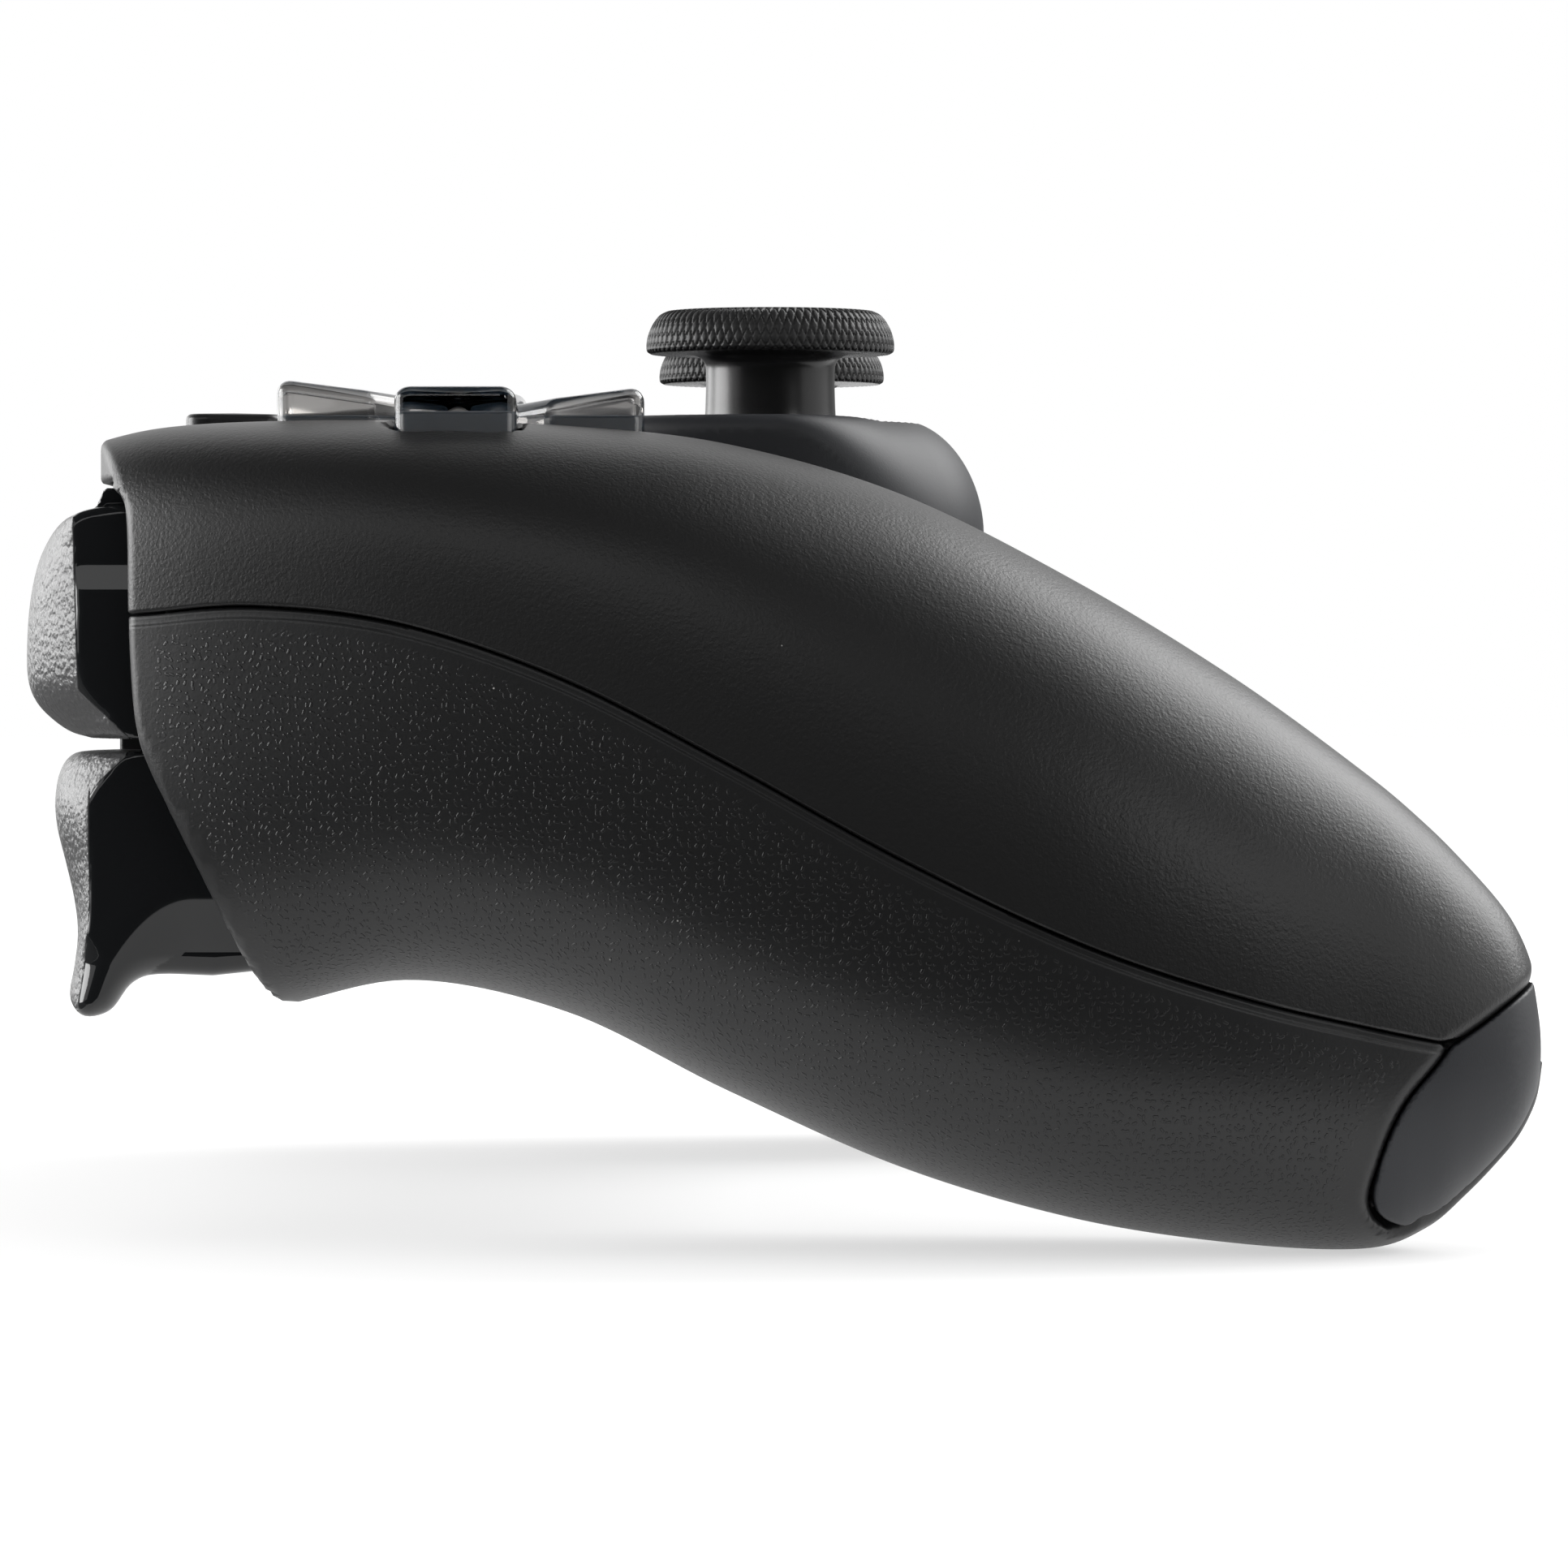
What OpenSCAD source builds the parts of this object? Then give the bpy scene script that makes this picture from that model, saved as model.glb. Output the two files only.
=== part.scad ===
// Gamepad controller: two covers, a centre trim, sticks, direction keys, face buttons,
// bumpers, triggers and the working parts inside. Millimetres, +Z up, +Y towards the
// triggers. The origin is under the middle of the pad, at the height of its lowest point.

/* [Body] */
// Overall width across the two grips
body_w = 160; // [150:1:170]
// Height of the shell's top face above the lowest point of the grips
face_z = 57.5; // [56:0.5:59]
// Wall thickness of the two covers
wall = 2; // [1.6:0.1:2.4]
// Wall thickness of the centre trim
trim_wall = 1.8; // [1.4:0.1:2.2]
// Gap along the seams between covers, trim and end caps
seam_gap = 0.3; // [0.2:0.05:0.5]
// How deep the trim sits below the covers at the grips
trim_step = 0.25; // [0.1:0.05:0.5]
// Front edge of the covers over the bumpers
front_y = 48; // [47:0.5:49]
// Underside of the middle of the back cover
belly_z = 22; // [20:0.5:24]

/* [Sticks] */
// Distance of each stick from the middle
stick_x = 30; // [28:0.5:32]
// Place of the sticks from front to back
stick_y = 1; // [0:0.5:3]
// Height of the stick pivots
pivot_z = 46; // [45.5:0.25:46.5]
// Radius of the thumb cap
cap_r = 9; // [8:0.25:9.5]
// Height of the cap's rim
cap_h = 3.4; // [3:0.1:4]
// Top of the thumb cap
cap_top_z = 66.5; // [66:0.25:68]
// Radius of the neck under the cap
neck_r = 4.75; // [4:0.25:5]
// Outer radius of the dome that closes the stick hole
dome_r = 12.6; // [12.2:0.1:12.8]
// Radius of the stick hole in the trim
stick_hole_r = 10.25; // [10:0.05:10.5]
// Radius of the stick post
post_r = 2.4; // [2:0.1:2.8]
// Travel of the stick click
click_travel = 0.5; // [0.3:0.1:0.6]
// Radius of the round pod that carries each stick
pod_r = 15.6; // [15.2:0.1:16]
// Top of the pods
pod_z = 58.3; // [58:0.1:59]

/* [Buttons] */
// Distance of both button groups from the middle
group_x = 52; // [51.5:0.25:52.5]
// Place of both button groups from front to back
group_y = 22.6; // [22:0.2:23.4]
// Radius of a face button
button_r = 5; // [4.5:0.1:5.3]
// Distance of the face buttons from the middle of their group
button_ring = 11.6; // [11:0.1:12]
// Top of the face buttons
button_top_z = 59.8; // [59:0.1:60.5]
// Distance from the group's middle to the outer end of a direction key
key_reach = 12.8; // [12:0.1:13.4]
// Width of a direction key
key_w = 8.4; // [7.6:0.1:9]
// Height of a direction key at its outer end
key_top_z = 60.2; // [59.6:0.1:60.8]
// How far a key falls towards the group's middle
key_fall = 1; // [0.4:0.1:1.4]
// Clearance around every button
button_gap = 0.35; // [0.25:0.05:0.45]
// Travel of the buttons and keys
button_travel = 1; // [0.6:0.1:1.1]
// Length of the two small menu buttons
menu_l = 7; // [6:0.25:8]
// Width of the two small menu buttons
menu_w = 2.8; // [2.4:0.1:3.2]
// Radius of the home button
home_r = 4.3; // [4:0.1:4.5]
// Length of the mute button
mute_l = 8; // [7:0.25:9]
// Width of the mute button
mute_w = 2.6; // [2.2:0.1:3]

/* [Touchpad] */
// Width of the touchpad at its front edge
pad_front_w = 64; // [60:1:66]
// Width of the touchpad at its rear edge
pad_rear_w = 52; // [48:1:54]
// Thickness of the touchpad plate
pad_t = 2; // [1.6:0.1:2.4]
// Width of the light guide along each side of the pad
light_w = 1.2; // [0.8:0.1:1.6]

/* [Shoulders] */
// Outer end of the bumpers and triggers
bay_out = 60; // [59:0.5:60.5]
// Inner end of the bumpers and triggers
bay_in = 39; // [38.5:0.25:40]
// Radius of the trigger pins
trigger_pin_r = 1.5; // [1.2:0.1:1.8]
// Radius of the bumper pins
bumper_pin_r = 0.9; // [0.7:0.1:1.1]
// Running clearance of pins in their bores
run_gap = 0.05; // [0.03:0.01:0.08]

/* [Inside] */
// Size of the battery along X, Y and Z
battery = [50, 34, 8]; // [5:1:60]
// Thickness of the main board
board_t = 1.2; // [0.8:0.1:1.6]
// Radius of the haptic motors
motor_r = 9; // [8:0.25:10]
// Length of the haptic motors
motor_l = 15; // [12:0.5:16]
// Radius of the headphone socket's bore
jack_r = 1.8; // [1.75:0.01:1.85]
// Length of the headphone socket
jack_l = 14; // [12:0.5:15]
// Radius of a cover screw's shank
screw_r = 1; // [0.8:0.1:1.2]

/* [Hidden] */
$fn = 48;
eps = 0.01;
far = 200;

// Cross-sections of one grip and wing, from the front to the tip. Columns: Y, distance inside the
// widest point, X of the ridge, inner X above the seam, inner X below the seam, drop of the top
// under the face, height of the underside, height of the seam, and the section's squareness.
tip_y = -52.6;
tip_x = 62.4;
tip_z = 13.2;
stations = [
    [50, 18.5, 50, -38, 32, 2.0, 20, 43.6, 3.2],
    [44, 13.8, 50, -40, 32, 0.5, 18, 43.9, 3.2],
    [36, 9.6, 50.5, -40, 32, 0, 17, 44.4, 3.2],
    [26, 5.8, 51.5, -40, 32, 0, 18.4, 43.2, 3.2],
    [15, 3, 53, -35, 33, 0.4, 16.2, 39.5, 3],
    [4, 1.1, 56, -5, 35, 1.7, 10.9, 33.9, 2.7],
    [-8, 0.1, 59, 32, 37.5, 5, 5.7, 27.3, 2.4],
    [-20, 0.3, 60.5, 40.5, 40.5, 10.8, 2.2, 21.7, 2.3],
    [-31, 2.4, 61, 44, 44, 17.3, 0.5, 18, 2.2],
    [-40, 5.6, 61.8, 48.5, 48.5, 24, 0.07, 15.8, 2.2],
    [-47, 8.8, 62.3, 53.2, 53.2, 31.2, 2.5, 14.3, 2.1],
    [-51.1, 12.2, tip_x, 57, 57, 37.4, 7.6, 13.6, 2],
    [tip_y, body_w / 2 - tip_x, tip_x, tip_x, tip_x, face_z - tip_z, tip_z, tip_z, 2]
];
Y = 0;
INSET = 1;
RIDGE = 2;
IN_TOP = 3;
IN_LOW = 4;
DROP = 5;
LOW = 6;
SEAM = 7;
POWER = 8;
rings_per_station = 2;
ring_n = 28;
last = len(stations) - 1;

// Catmull-Rom curve through the stations, with a mirrored point past each end
function station_at(i) =
    i < 0 ? 2 * stations[0] - stations[1] :
    i > last ? 2 * stations[last] - stations[last - 1] : stations[i];
function blend4(a, b, c, d, t) =
    0.5 * (2 * b + (c - a) * t + (2 * a - 5 * b + 4 * c - d) * t * t + (3 * b - a - 3 * c + d) * t * t * t);
function section(k) =
    let (i = min(floor(k), last - 1))
    blend4(station_at(i - 1), station_at(i), station_at(i + 1), station_at(i + 2), k - i);

// One ring of a grip section, offset inwards by d
function sq(v, p) = sign(v) * pow(abs(v), 2 / p);
function ring_point(s, a, d) =
    let (
        top = sin(a) >= 0,
        outer = cos(a) >= 0,
        x_in = top ? s[IN_TOP] : s[IN_LOW],
        reach = outer ? body_w / 2 - s[INSET] - s[RIDGE] : s[RIDGE] - x_in,
        rise = top ? face_z - s[DROP] - s[SEAM] : s[SEAM] - s[LOW]
    )
    [
        s[RIDGE] + max(reach - d, eps) * sq(cos(a), s[POWER]),
        s[Y],
        s[SEAM] + max(rise - d, eps) * sq(sin(a), s[POWER])
    ];
// A point past the inner seam keeps the two halves' different inner ends apart
ring_angles = [for (j = [0:ring_n]) j <= ring_n / 2 ? j * 360 / ring_n : (j - 1) * 360 / ring_n];
function ring(s, d) = [
    for (j = [0:ring_n])
        let (a = ring_angles[j])
        j == ring_n / 2 + 1 ? [s[IN_LOW] + d, s[Y], s[SEAM] - eps] : ring_point(s, a, d)
];

// Skin of one grip and wing, offset inwards by d, on the +X side
module grip_loft(d = 0) {
    n = ring_n + 1;
    count = last * rings_per_station;
    ends = [for (i = [0:count - 1]) let (s = section(i / rings_per_station)) if (s[Y] - tip_y > d + 1) s];
    points = concat(
        [for (s = ends) each ring(s, d)],
        [[tip_x, tip_y + d, tip_z]]
    );
    rows = len(ends);
    tip = rows * n;
    faces = concat(
        [[for (j = [0:n - 1]) j]],
        [for (i = [0:rows - 2], j = [0:n - 1]) let (a = i * n, b = (j + 1) % n) [a + b, a + j, a + n + j]],
        [for (i = [0:rows - 2], j = [0:n - 1]) let (a = i * n, b = (j + 1) % n) [a + b, a + n + j, a + n + b]],
        [for (j = [0:n - 1]) let (a = (rows - 1) * n) [a + (j + 1) % n, a + j, tip]]
    );
    polyhedron(points, faces);
}

module both_sides() {
    children();
    mirror([1, 0, 0]) children();
}

// Pods and the bridge between them: plan circles that shrink with height
bridge_y = 3;
bridge_r = pod_r - 0.4;
bridge_round = 3;
pod_round_h = 8.3;
pod_round = 5.3;
pod_curve = 1.7;
trim_edge_z = 46;
function pod_shrink(z, round) =
    let (t = max(0, z - pod_z + pod_round_h) / pod_round_h)
    round * (1 - pow(max(1 - pow(t, pod_curve), 0), 1 / pod_curve));
pod_levels = [0, 2, 4, 5.6, 6.8, 7.7, pod_round_h];
module pod_stack(x, y, r, round, low, d) {
    translate([x, y, low]) cylinder(r = r - d, h = eps, $fn = 44);
    for (level = pod_levels)
        let (z = pod_z - pod_round_h + level)
        translate([x, y, z - d - eps]) cylinder(r = r - pod_shrink(z, round) - d, h = eps, $fn = 44);
}
module pods(d = 0, low = trim_edge_z) {
    both_sides()
    hull() {
        pod_stack(stick_x, stick_y, pod_r, pod_round, low, d);
        pod_stack(0, bridge_y, bridge_r, bridge_round, low, d);
    }
}

// Middle of the back cover: bowls under the pods and a box to the front wall
bowl_waist_z = 32;
core_x = bay_in - 2;
core_front_y = front_y - 0.2;
module bowl_stack(x, y, r, d) {
    translate([x, y, trim_edge_z + wall]) cylinder(r = r - d, h = eps, $fn = 44);
    translate([x, y, bowl_waist_z]) cylinder(r = r - 1.5 - d, h = eps, $fn = 44);
    translate([x, y, belly_z + 3 + d]) cylinder(r = r - 4.5 - d, h = eps, $fn = 44);
    translate([x, y, belly_z + d]) cylinder(r = r - 8 - d, h = eps, $fn = 44);
}
module core(d = 0) {
    both_sides()
    hull() {
        bowl_stack(stick_x, stick_y, pod_r, d);
        bowl_stack(0, bridge_y, bridge_r, d);
    }
    hull() {
        translate([d - core_x, stick_y, belly_z + d]) cube([2 * (core_x - d), core_front_y - d - stick_y - 4, eps]);
        translate([d - core_x, stick_y, belly_z + 8]) cube([2 * (core_x - d), core_front_y - d - stick_y, eps]);
        translate([d - core_x, stick_y, trim_edge_z + wall]) cube([2 * (core_x - d), core_front_y - d - stick_y, eps]);
    }
}

module body(d = 0) {
    both_sides() grip_loft(d);
    core(d);
}

// Hollow inside both covers, with the middle opened into the grips
module cavity() {
    intersection() {
        union() {
            body(wall);
            translate([-core_x - 8, 4, belly_z + 5]) cube([2 * core_x + 16, 25.5, trim_edge_z - belly_z - 5]);
        }
        behind_front_edge(wall);
    }
}

// Everything above the seam: the grips' seam follows the section table, the middle's is level
seam_line = [for (i = [0:last * 3]) let (s = section(i / 3)) [s[Y], s[SEAM]]];
module seam_side(above) {
    top_z = above ? far : -far;
    polygon(concat([[far, seam_line[0][1]]], seam_line, [[-far, tip_z], [-far, top_z], [far, top_z]]));
}
module along_x(from, to) {
    translate([from, 0, 0]) rotate([90, 0, 90]) linear_extrude(to - from) children();
}
module above_seam(gap = 0) {
    difference() {
        along_x(-far, far) translate([0, gap]) seam_side(true);
        translate([0, 0, gap]) middle_low_block();
    }
}
module below_seam(gap = 0) {
    difference() {
        along_x(-far, far) translate([0, -gap]) seam_side(false);
        translate([0, 0, -gap]) middle_high_block();
    }
    translate([0, 0, -gap]) middle_low_block();
}
// The middle of the back cover reaches up to the trim and slopes down along the grips
seam_x = stick_x + pod_r + 0.4;
middle_front_y = 38.5;
module middle_side(above) {
    end_z = above ? far : -far;
    polygon([[middle_front_y, end_z], [middle_front_y, trim_edge_z], [-15.4, trim_edge_z], [-27, 19.2], [-27, end_z]]);
}
module middle_low_block() {
    along_x(-seam_x, seam_x) middle_side(false);
}
module middle_high_block() {
    along_x(-seam_x, seam_x) middle_side(true);
}

// What stays behind the front edge: level in the middle, sloping beside the triggers
front_edge = [
    [front_y, far], [front_y, 52.8], [front_y - 2.8, 51.8], [front_y - 3.1, 43.8], [front_y - 3.5, 38.5],
    [front_y - 5, 33], [front_y - 13.4, 16.8], [front_y - 14, -far], [-far, -far], [-far, far]
];
front_round = 16;
module behind_front_edge(back = 0) {
    translate([0, -back, 0])
    intersection() {
        union() {
            along_x(-far, far) polygon(front_edge);
            translate([-core_x, -far, -far]) cube([2 * core_x, 2 * far, 2 * far]);
        }
        translate([0, 0, -far]) linear_extrude(2 * far) polygon(concat(
            [[-far, -far], [-far, front_y - 3]],
            [for (i = [-8:8]) let (x = i * (body_w / 2 - 12) / 8)
                [x, front_y - 3 * pow(max(0, abs(x) - 50) / front_round, 2)]],
            [[far, front_y - 3], [far, -far]]
        ));
    }
}
// Opening at the front of each wing for the bumper and the trigger
bay_gap = 0.7;
module bay() {
    translate([core_x, 30, 19.6]) cube([bay_out + 1 + bay_gap - core_x, 40, 33.4]);
    translate([core_x, front_y - 13.5, 10]) cube([bay_out + 1 + bay_gap - core_x, 40, 10]);
}

// Inner edge of the front cover along the grips, in plan
strip_share = 0.42;
function strip_x(s) = s[IN_TOP] + strip_share * (s[RIDGE] - s[IN_TOP]);
strip_from = 6;
strip_rows = [for (i = [0:8]) section(strip_from + 0.13 + i * (last - 0.55 - strip_from) / 8)];
module strip_plan(gap = 0) {
    translate([0, 0, -far]) linear_extrude(2 * far) polygon(concat(
        [[stick_x, stick_y - pod_r / 2], [strip_x(strip_rows[0]) + gap, stick_y - pod_r / 2]],
        [for (s = strip_rows) [strip_x(s) + gap, s[Y]]],
        [[tip_x + gap, tip_y - 5], [stick_x, tip_y - 5]]
    ));
}

// End cap outline, seen from the side
cap_outline = [
    [-45, 14.7], [-42.8, 12.6], [-40.9, 9.3], [-39.8, 6], [-39.9, 3.6], [-41.5, 2], [-44.3, 2.2],
    [-46.8, 3.4], [-49.4, 6.1], [-51.3, 9.2], [-56, 12.5], [-56, 19.5], [-50.5, 18.2]
];
module end_cap_side(gap = 0) {
    along_x(tip_x - 16, body_w / 2) offset(delta = gap) polygon(cap_outline);
}

// Button outlines, in plan
module key_plan(grow = 0) {
    corner = 1.2;
    point = 2.6;
    shoulder = 6.2;
    hull() {
        for (side = [-1, 1]) {
            translate([side * (key_w / 2 - corner), key_reach - corner]) circle(corner + grow, $fn = 20);
            translate([side * (key_w / 2 - corner), shoulder + corner]) circle(corner + grow, $fn = 20);
        }
        translate([0, point + corner]) circle(corner + grow, $fn = 20);
    }
}
module pill_plan(l, w, grow = 0) {
    hull()
    for (side = [-1, 1]) translate([side * (l - w) / 2, 0]) circle(w / 2 + grow, $fn = 24);
}
key_turns = [0, 180, 90, 270];
menu_x = pad_front_w / 2 + 6;
menu_y = front_y - 8.4;
menu_turn = 76;
home_y = 2.2;
mute_y = -5.9;
seat_z = face_z - 5;
menu_seat_z = face_z - 3.5;
menu_flange_t = 0.8;
trim_seat_z = pod_z - trim_wall - 1;
flange = 0.7;
flange_t = 1.2;
seat_gap = 0.3;
collar_t = 1;

module at_key(i) {
    translate([-group_x, group_y, 0]) rotate([0, 0, key_turns[i]]) children();
}
module at_button(i) {
    translate([group_x, group_y, 0]) rotate([0, 0, key_turns[i]]) translate([0, button_ring, 0]) children();
}
module at_menu(side) {
    translate([side * menu_x, menu_y, 0]) rotate([0, 0, side * menu_turn]) children();
}
// Holes in the front cover, cut through from the collars up
module cover_holes(grow) {
    translate([0, 0, seat_z - 1]) {
        for (i = [0:3]) {
            at_key(i) linear_extrude(20) key_plan(grow);
            at_button(i) cylinder(r = button_r + grow, h = 20);
        }
        for (side = [-1, 1]) at_menu(side) linear_extrude(20) pill_plan(menu_l, menu_w, grow);
    }
}
module trim_holes(grow) {
    translate([0, home_y, 0]) cylinder(r = home_r + grow, h = far);
    translate([0, mute_y, 0]) linear_extrude(far) pill_plan(mute_l, mute_w, grow);
}

// Touchpad outline, in plan
pad_front_y = front_y - 4.4;
pad_rear_y = 19.2;
pad_z = face_z + 0.6;
pad_corner = 3;
pad_gap = 0.3;
pad_side_inset = 3.2;
module pad_plan(grow = 0) {
    hull()
    for (side = [-1, 1]) {
        translate([side * (pad_front_w / 2 - pad_corner), pad_front_y - pad_corner]) circle(pad_corner + grow, $fn = 28);
        translate([side * (pad_rear_w / 2 - pad_corner), pad_rear_y + pad_corner]) circle(pad_corner + grow, $fn = 28);
    }
}
// Well for the pad, with room for the light guides at its sides
module pad_well() {
    pad_plan(pad_gap);
    intersection() {
        pad_plan(light_w + 2 * light_gap);
        side_bands(0);
    }
}
module side_bands(gap) {
    for (side = [-1, 1])
        translate([side * (pad_rear_w / 2 + 20 - 3), (pad_front_y + pad_rear_y) / 2])
            square([40, pad_front_y - pad_rear_y - 2 * pad_side_inset - 2 * gap], center = true);
}
pad_board_t = 1.3;
pad_drop = 0.6;
ledge_z = pad_z - pad_t - pad_board_t - pad_drop;
ledge_t = 1.4;
light_gap = 0.1;

// Cover and carrier fixings
carrier_z = seat_z - seat_gap - flange_t - button_travel - 0.3 - 2.5;
carrier_t = 1.5;
boss_r = 3;
carrier_boss_r = 2.2;
carrier_posts = [[group_x - 7.8, 14.8], [group_x + 14.5, 12.8], [pad_front_w / 2 + 2.5, 32]];
cover_posts = [[46, 26], [46, 2]];
frame_z = 33;
frame_t = 1.5;
screw_head_r = 1.9;
screw_head_h = 1.4;
screw_gap = 0.15;

module front_cover() {
    color([0.10, 0.10, 0.105])
    difference() {
        union() {
            difference() {
                intersection() {
                    body(0);
                    above_seam(seam_gap / 2);
                    behind_front_edge();
                }
                cavity();
                both_sides() bay();
                translate([0, 0, ledge_z]) linear_extrude(20) pad_well();
            }
            // Collars under the buttons, and the touchpad's ledge and posts
            intersection() {
                union() {
                    difference() {
                        translate([0, 0, seat_z]) {
                            for (i = [0:3]) {
                                at_key(i) linear_extrude(10) key_plan(button_gap + collar_t);
                                at_button(i) cylinder(r = button_r + button_gap + collar_t, h = 10);
                            }
                            translate([0, 0, menu_seat_z - seat_z])
                            for (side = [-1, 1])
                                at_menu(side) linear_extrude(10) pill_plan(menu_l, menu_w, button_gap + collar_t);
                        }
                        translate([0, 0, ledge_z]) linear_extrude(20) pad_well();
                    }
                    difference() {
                        translate([0, 0, ledge_z - ledge_t])
                            linear_extrude(face_z - 0.5 - ledge_z + ledge_t) pad_plan(light_w + collar_t);
                        translate([0, 0, ledge_z]) linear_extrude(20) pad_well();
                        translate([0, 0, ledge_z - far / 2]) linear_extrude(far) pad_plan(-2);
                    }
                    both_sides()
                    for (p = carrier_posts)
                        translate([p[0], p[1], carrier_z + carrier_t]) cylinder(r = carrier_boss_r, h = 20, $fn = 24);
                    // Inner wall of each bay, which holds the bumper's pin
                    both_sides()
                    translate([core_x - 1.8, front_y - 6.5, 44.2]) cube([1.8, 6.4, 7.5]);
                }
                body(wall / 2);
            }
        }
        cover_holes(button_gap);
        pods_cut();
        both_sides() {
            strip_plan(seam_gap);
            end_cap_side(seam_gap);
            for (p = carrier_posts)
                translate([p[0], p[1], carrier_z]) cylinder(r = screw_r + screw_gap, h = 6, $fn = 20);
            bumper_pin_hole();
        }
    }
}
// Plan of the pods with a gap, cut right through
module pods_cut() {
    both_sides()
    translate([0, 0, trim_edge_z - 30])
    hull() {
        translate([stick_x, stick_y, 0]) cylinder(r = pod_r + seam_gap, h = 60, $fn = 44);
        translate([0, bridge_y, 0]) cylinder(r = bridge_r + seam_gap, h = 60, $fn = 44);
    }
}
bumper_axis = [front_y - 4, face_z - 7.9];
module bumper_pin_hole() {
    translate([bay_in - 5, bumper_axis[0], bumper_axis[1]]) rotate([0, 90, 0])
        cylinder(r = bumper_pin_r + 0.12, h = bay_out - bay_in + 8.2, $fn = 24);
}

motor_pos = [61, -17, 24];
jack_y = bridge_y - bridge_r + 0.8;
jack_z = frame_z + frame_t + board_t + 1.4 + 3;
usb_z = frame_z + frame_t + 1.5 + board_t + 1.65;
usb_w = 8.94;
usb_h = 3.26;
module back_cover() {
    color([0.085, 0.085, 0.09])
    difference() {
        union() {
            difference() {
                intersection() {
                    body(0);
                    below_seam(seam_gap / 2);
                    behind_front_edge();
                }
                cavity();
                both_sides() bay();
            }
            intersection() {
                both_sides() {
                    for (p = cover_posts)
                        translate([p[0], p[1], 0]) cylinder(r = boss_r, h = frame_z, $fn = 28);
                    motor_cradle();
                }
                body(wall / 2);
            }
        }
        both_sides() {
            end_cap_side(seam_gap);
            for (p = cover_posts) translate([p[0], p[1], 0]) {
                cylinder(r = screw_r + screw_gap, h = frame_z + 1, $fn = 24);
                cylinder(r = screw_head_r + screw_gap, h = screw_seat_z, $fn = 24);
            }
        }
        translate([0, 0, jack_z]) rotate([90, 0, 0]) cylinder(r = jack_r + 0.8, h = 60, $fn = 32);
        translate([0, core_front_y - 10, usb_z]) rotate([-90, 0, 0])
            linear_extrude(20) pill_plan(usb_w + 0.6, usb_h + 0.6);
        charge_slots(0.15);
    }
}
screw_seat_z = belly_z + 1;
// Saddle that holds a motor in the grip
module motor_cradle() {
    difference() {
        hull() {
            translate([motor_pos[0] - 3, motor_pos[1] - 6, 0]) cube([6, 12, eps]);
            translate([motor_pos[0] - 3, motor_pos[1] - 7, motor_pos[2] - motor_r / 2]) cube([6, 14, eps]);
        }
        translate(motor_pos) rotate([0, 90, 0]) cylinder(r = motor_r + 0.25, h = 40, center = true, $fn = 40);
    }
}
charge_x = 9;
charge_w = 4;
charge_t = 0.8;
charge_h = 3;
module charge_slots(grow) {
    for (side = [-1, 1])
        translate([side * charge_x - charge_w / 2 - grow, stick_y - pod_r - 2, jack_z - charge_h / 2 - grow])
            cube([charge_w + 2 * grow, 12, charge_h + 2 * grow]);
}

speaker_y = 9.4;
trim_low_z = 51.5;
module center_trim() {
    color([0.055, 0.06, 0.07])
    union() {
        difference() {
            union() {
                difference() {
                    pods(0);
                    pods(trim_wall, trim_edge_z - 1);
                    translate([-far, stick_y - 7, 0]) cube([2 * far, far, trim_low_z]);
                }
                // Collars that guide the home and mute buttons
                translate([0, 0, trim_seat_z]) {
                    translate([0, home_y, 0]) cylinder(r = home_r + button_gap + collar_t, h = 2);
                    translate([0, mute_y, 0]) linear_extrude(2) pill_plan(mute_l, mute_w, button_gap + collar_t);
                }
            }
            translate([0, 0, trim_seat_z - 1]) trim_holes(button_gap);
            both_sides() translate([stick_x, stick_y, trim_edge_z + 4]) cylinder(r = stick_hole_r, h = 20);
            for (i = [-3:3])
                translate([i * 2.2, speaker_y, 50]) rotate([0, 0, 90]) linear_extrude(20) pill_plan(2.6, 1);
            translate([0, 0, ledge_z - ledge_t - 0.2]) linear_extrude(20) pad_plan(light_w + collar_t + 0.3);
        }
        // Strip along the inner side of each grip, and its end cap, clear of the stick's dome
        both_sides()
        intersection() {
            difference() {
                grip_loft(trim_step);
                grip_loft(trim_step + trim_wall);
                translate([stick_x, stick_y, trim_edge_z - 13]) cylinder(r = dome_r + 0.6, h = 26);
            }
            union() {
                intersection() {
                    above_seam(seam_gap / 2);
                    strip_plan(0);
                }
                end_cap_side(0);
            }
        }
    }
}

module light_guides() {
    color([0.75, 0.80, 0.85])
    translate([0, 0, ledge_z]) linear_extrude(pad_z - ledge_z - 0.4)
    intersection() {
        difference() {
            pad_plan(light_w + light_gap);
            pad_plan(pad_gap);
        }
        side_bands(light_gap);
    }
}

module touchpad() {
    color([0.10, 0.10, 0.105])
    translate([0, 0, pad_z - pad_t]) linear_extrude(pad_t) pad_plan();
}
module touchpad_board() {
    color([0.05, 0.20, 0.12])
    translate([0, 0, pad_z - pad_t - pad_board_t]) linear_extrude(pad_board_t) pad_plan(-2.5);
}

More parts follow.
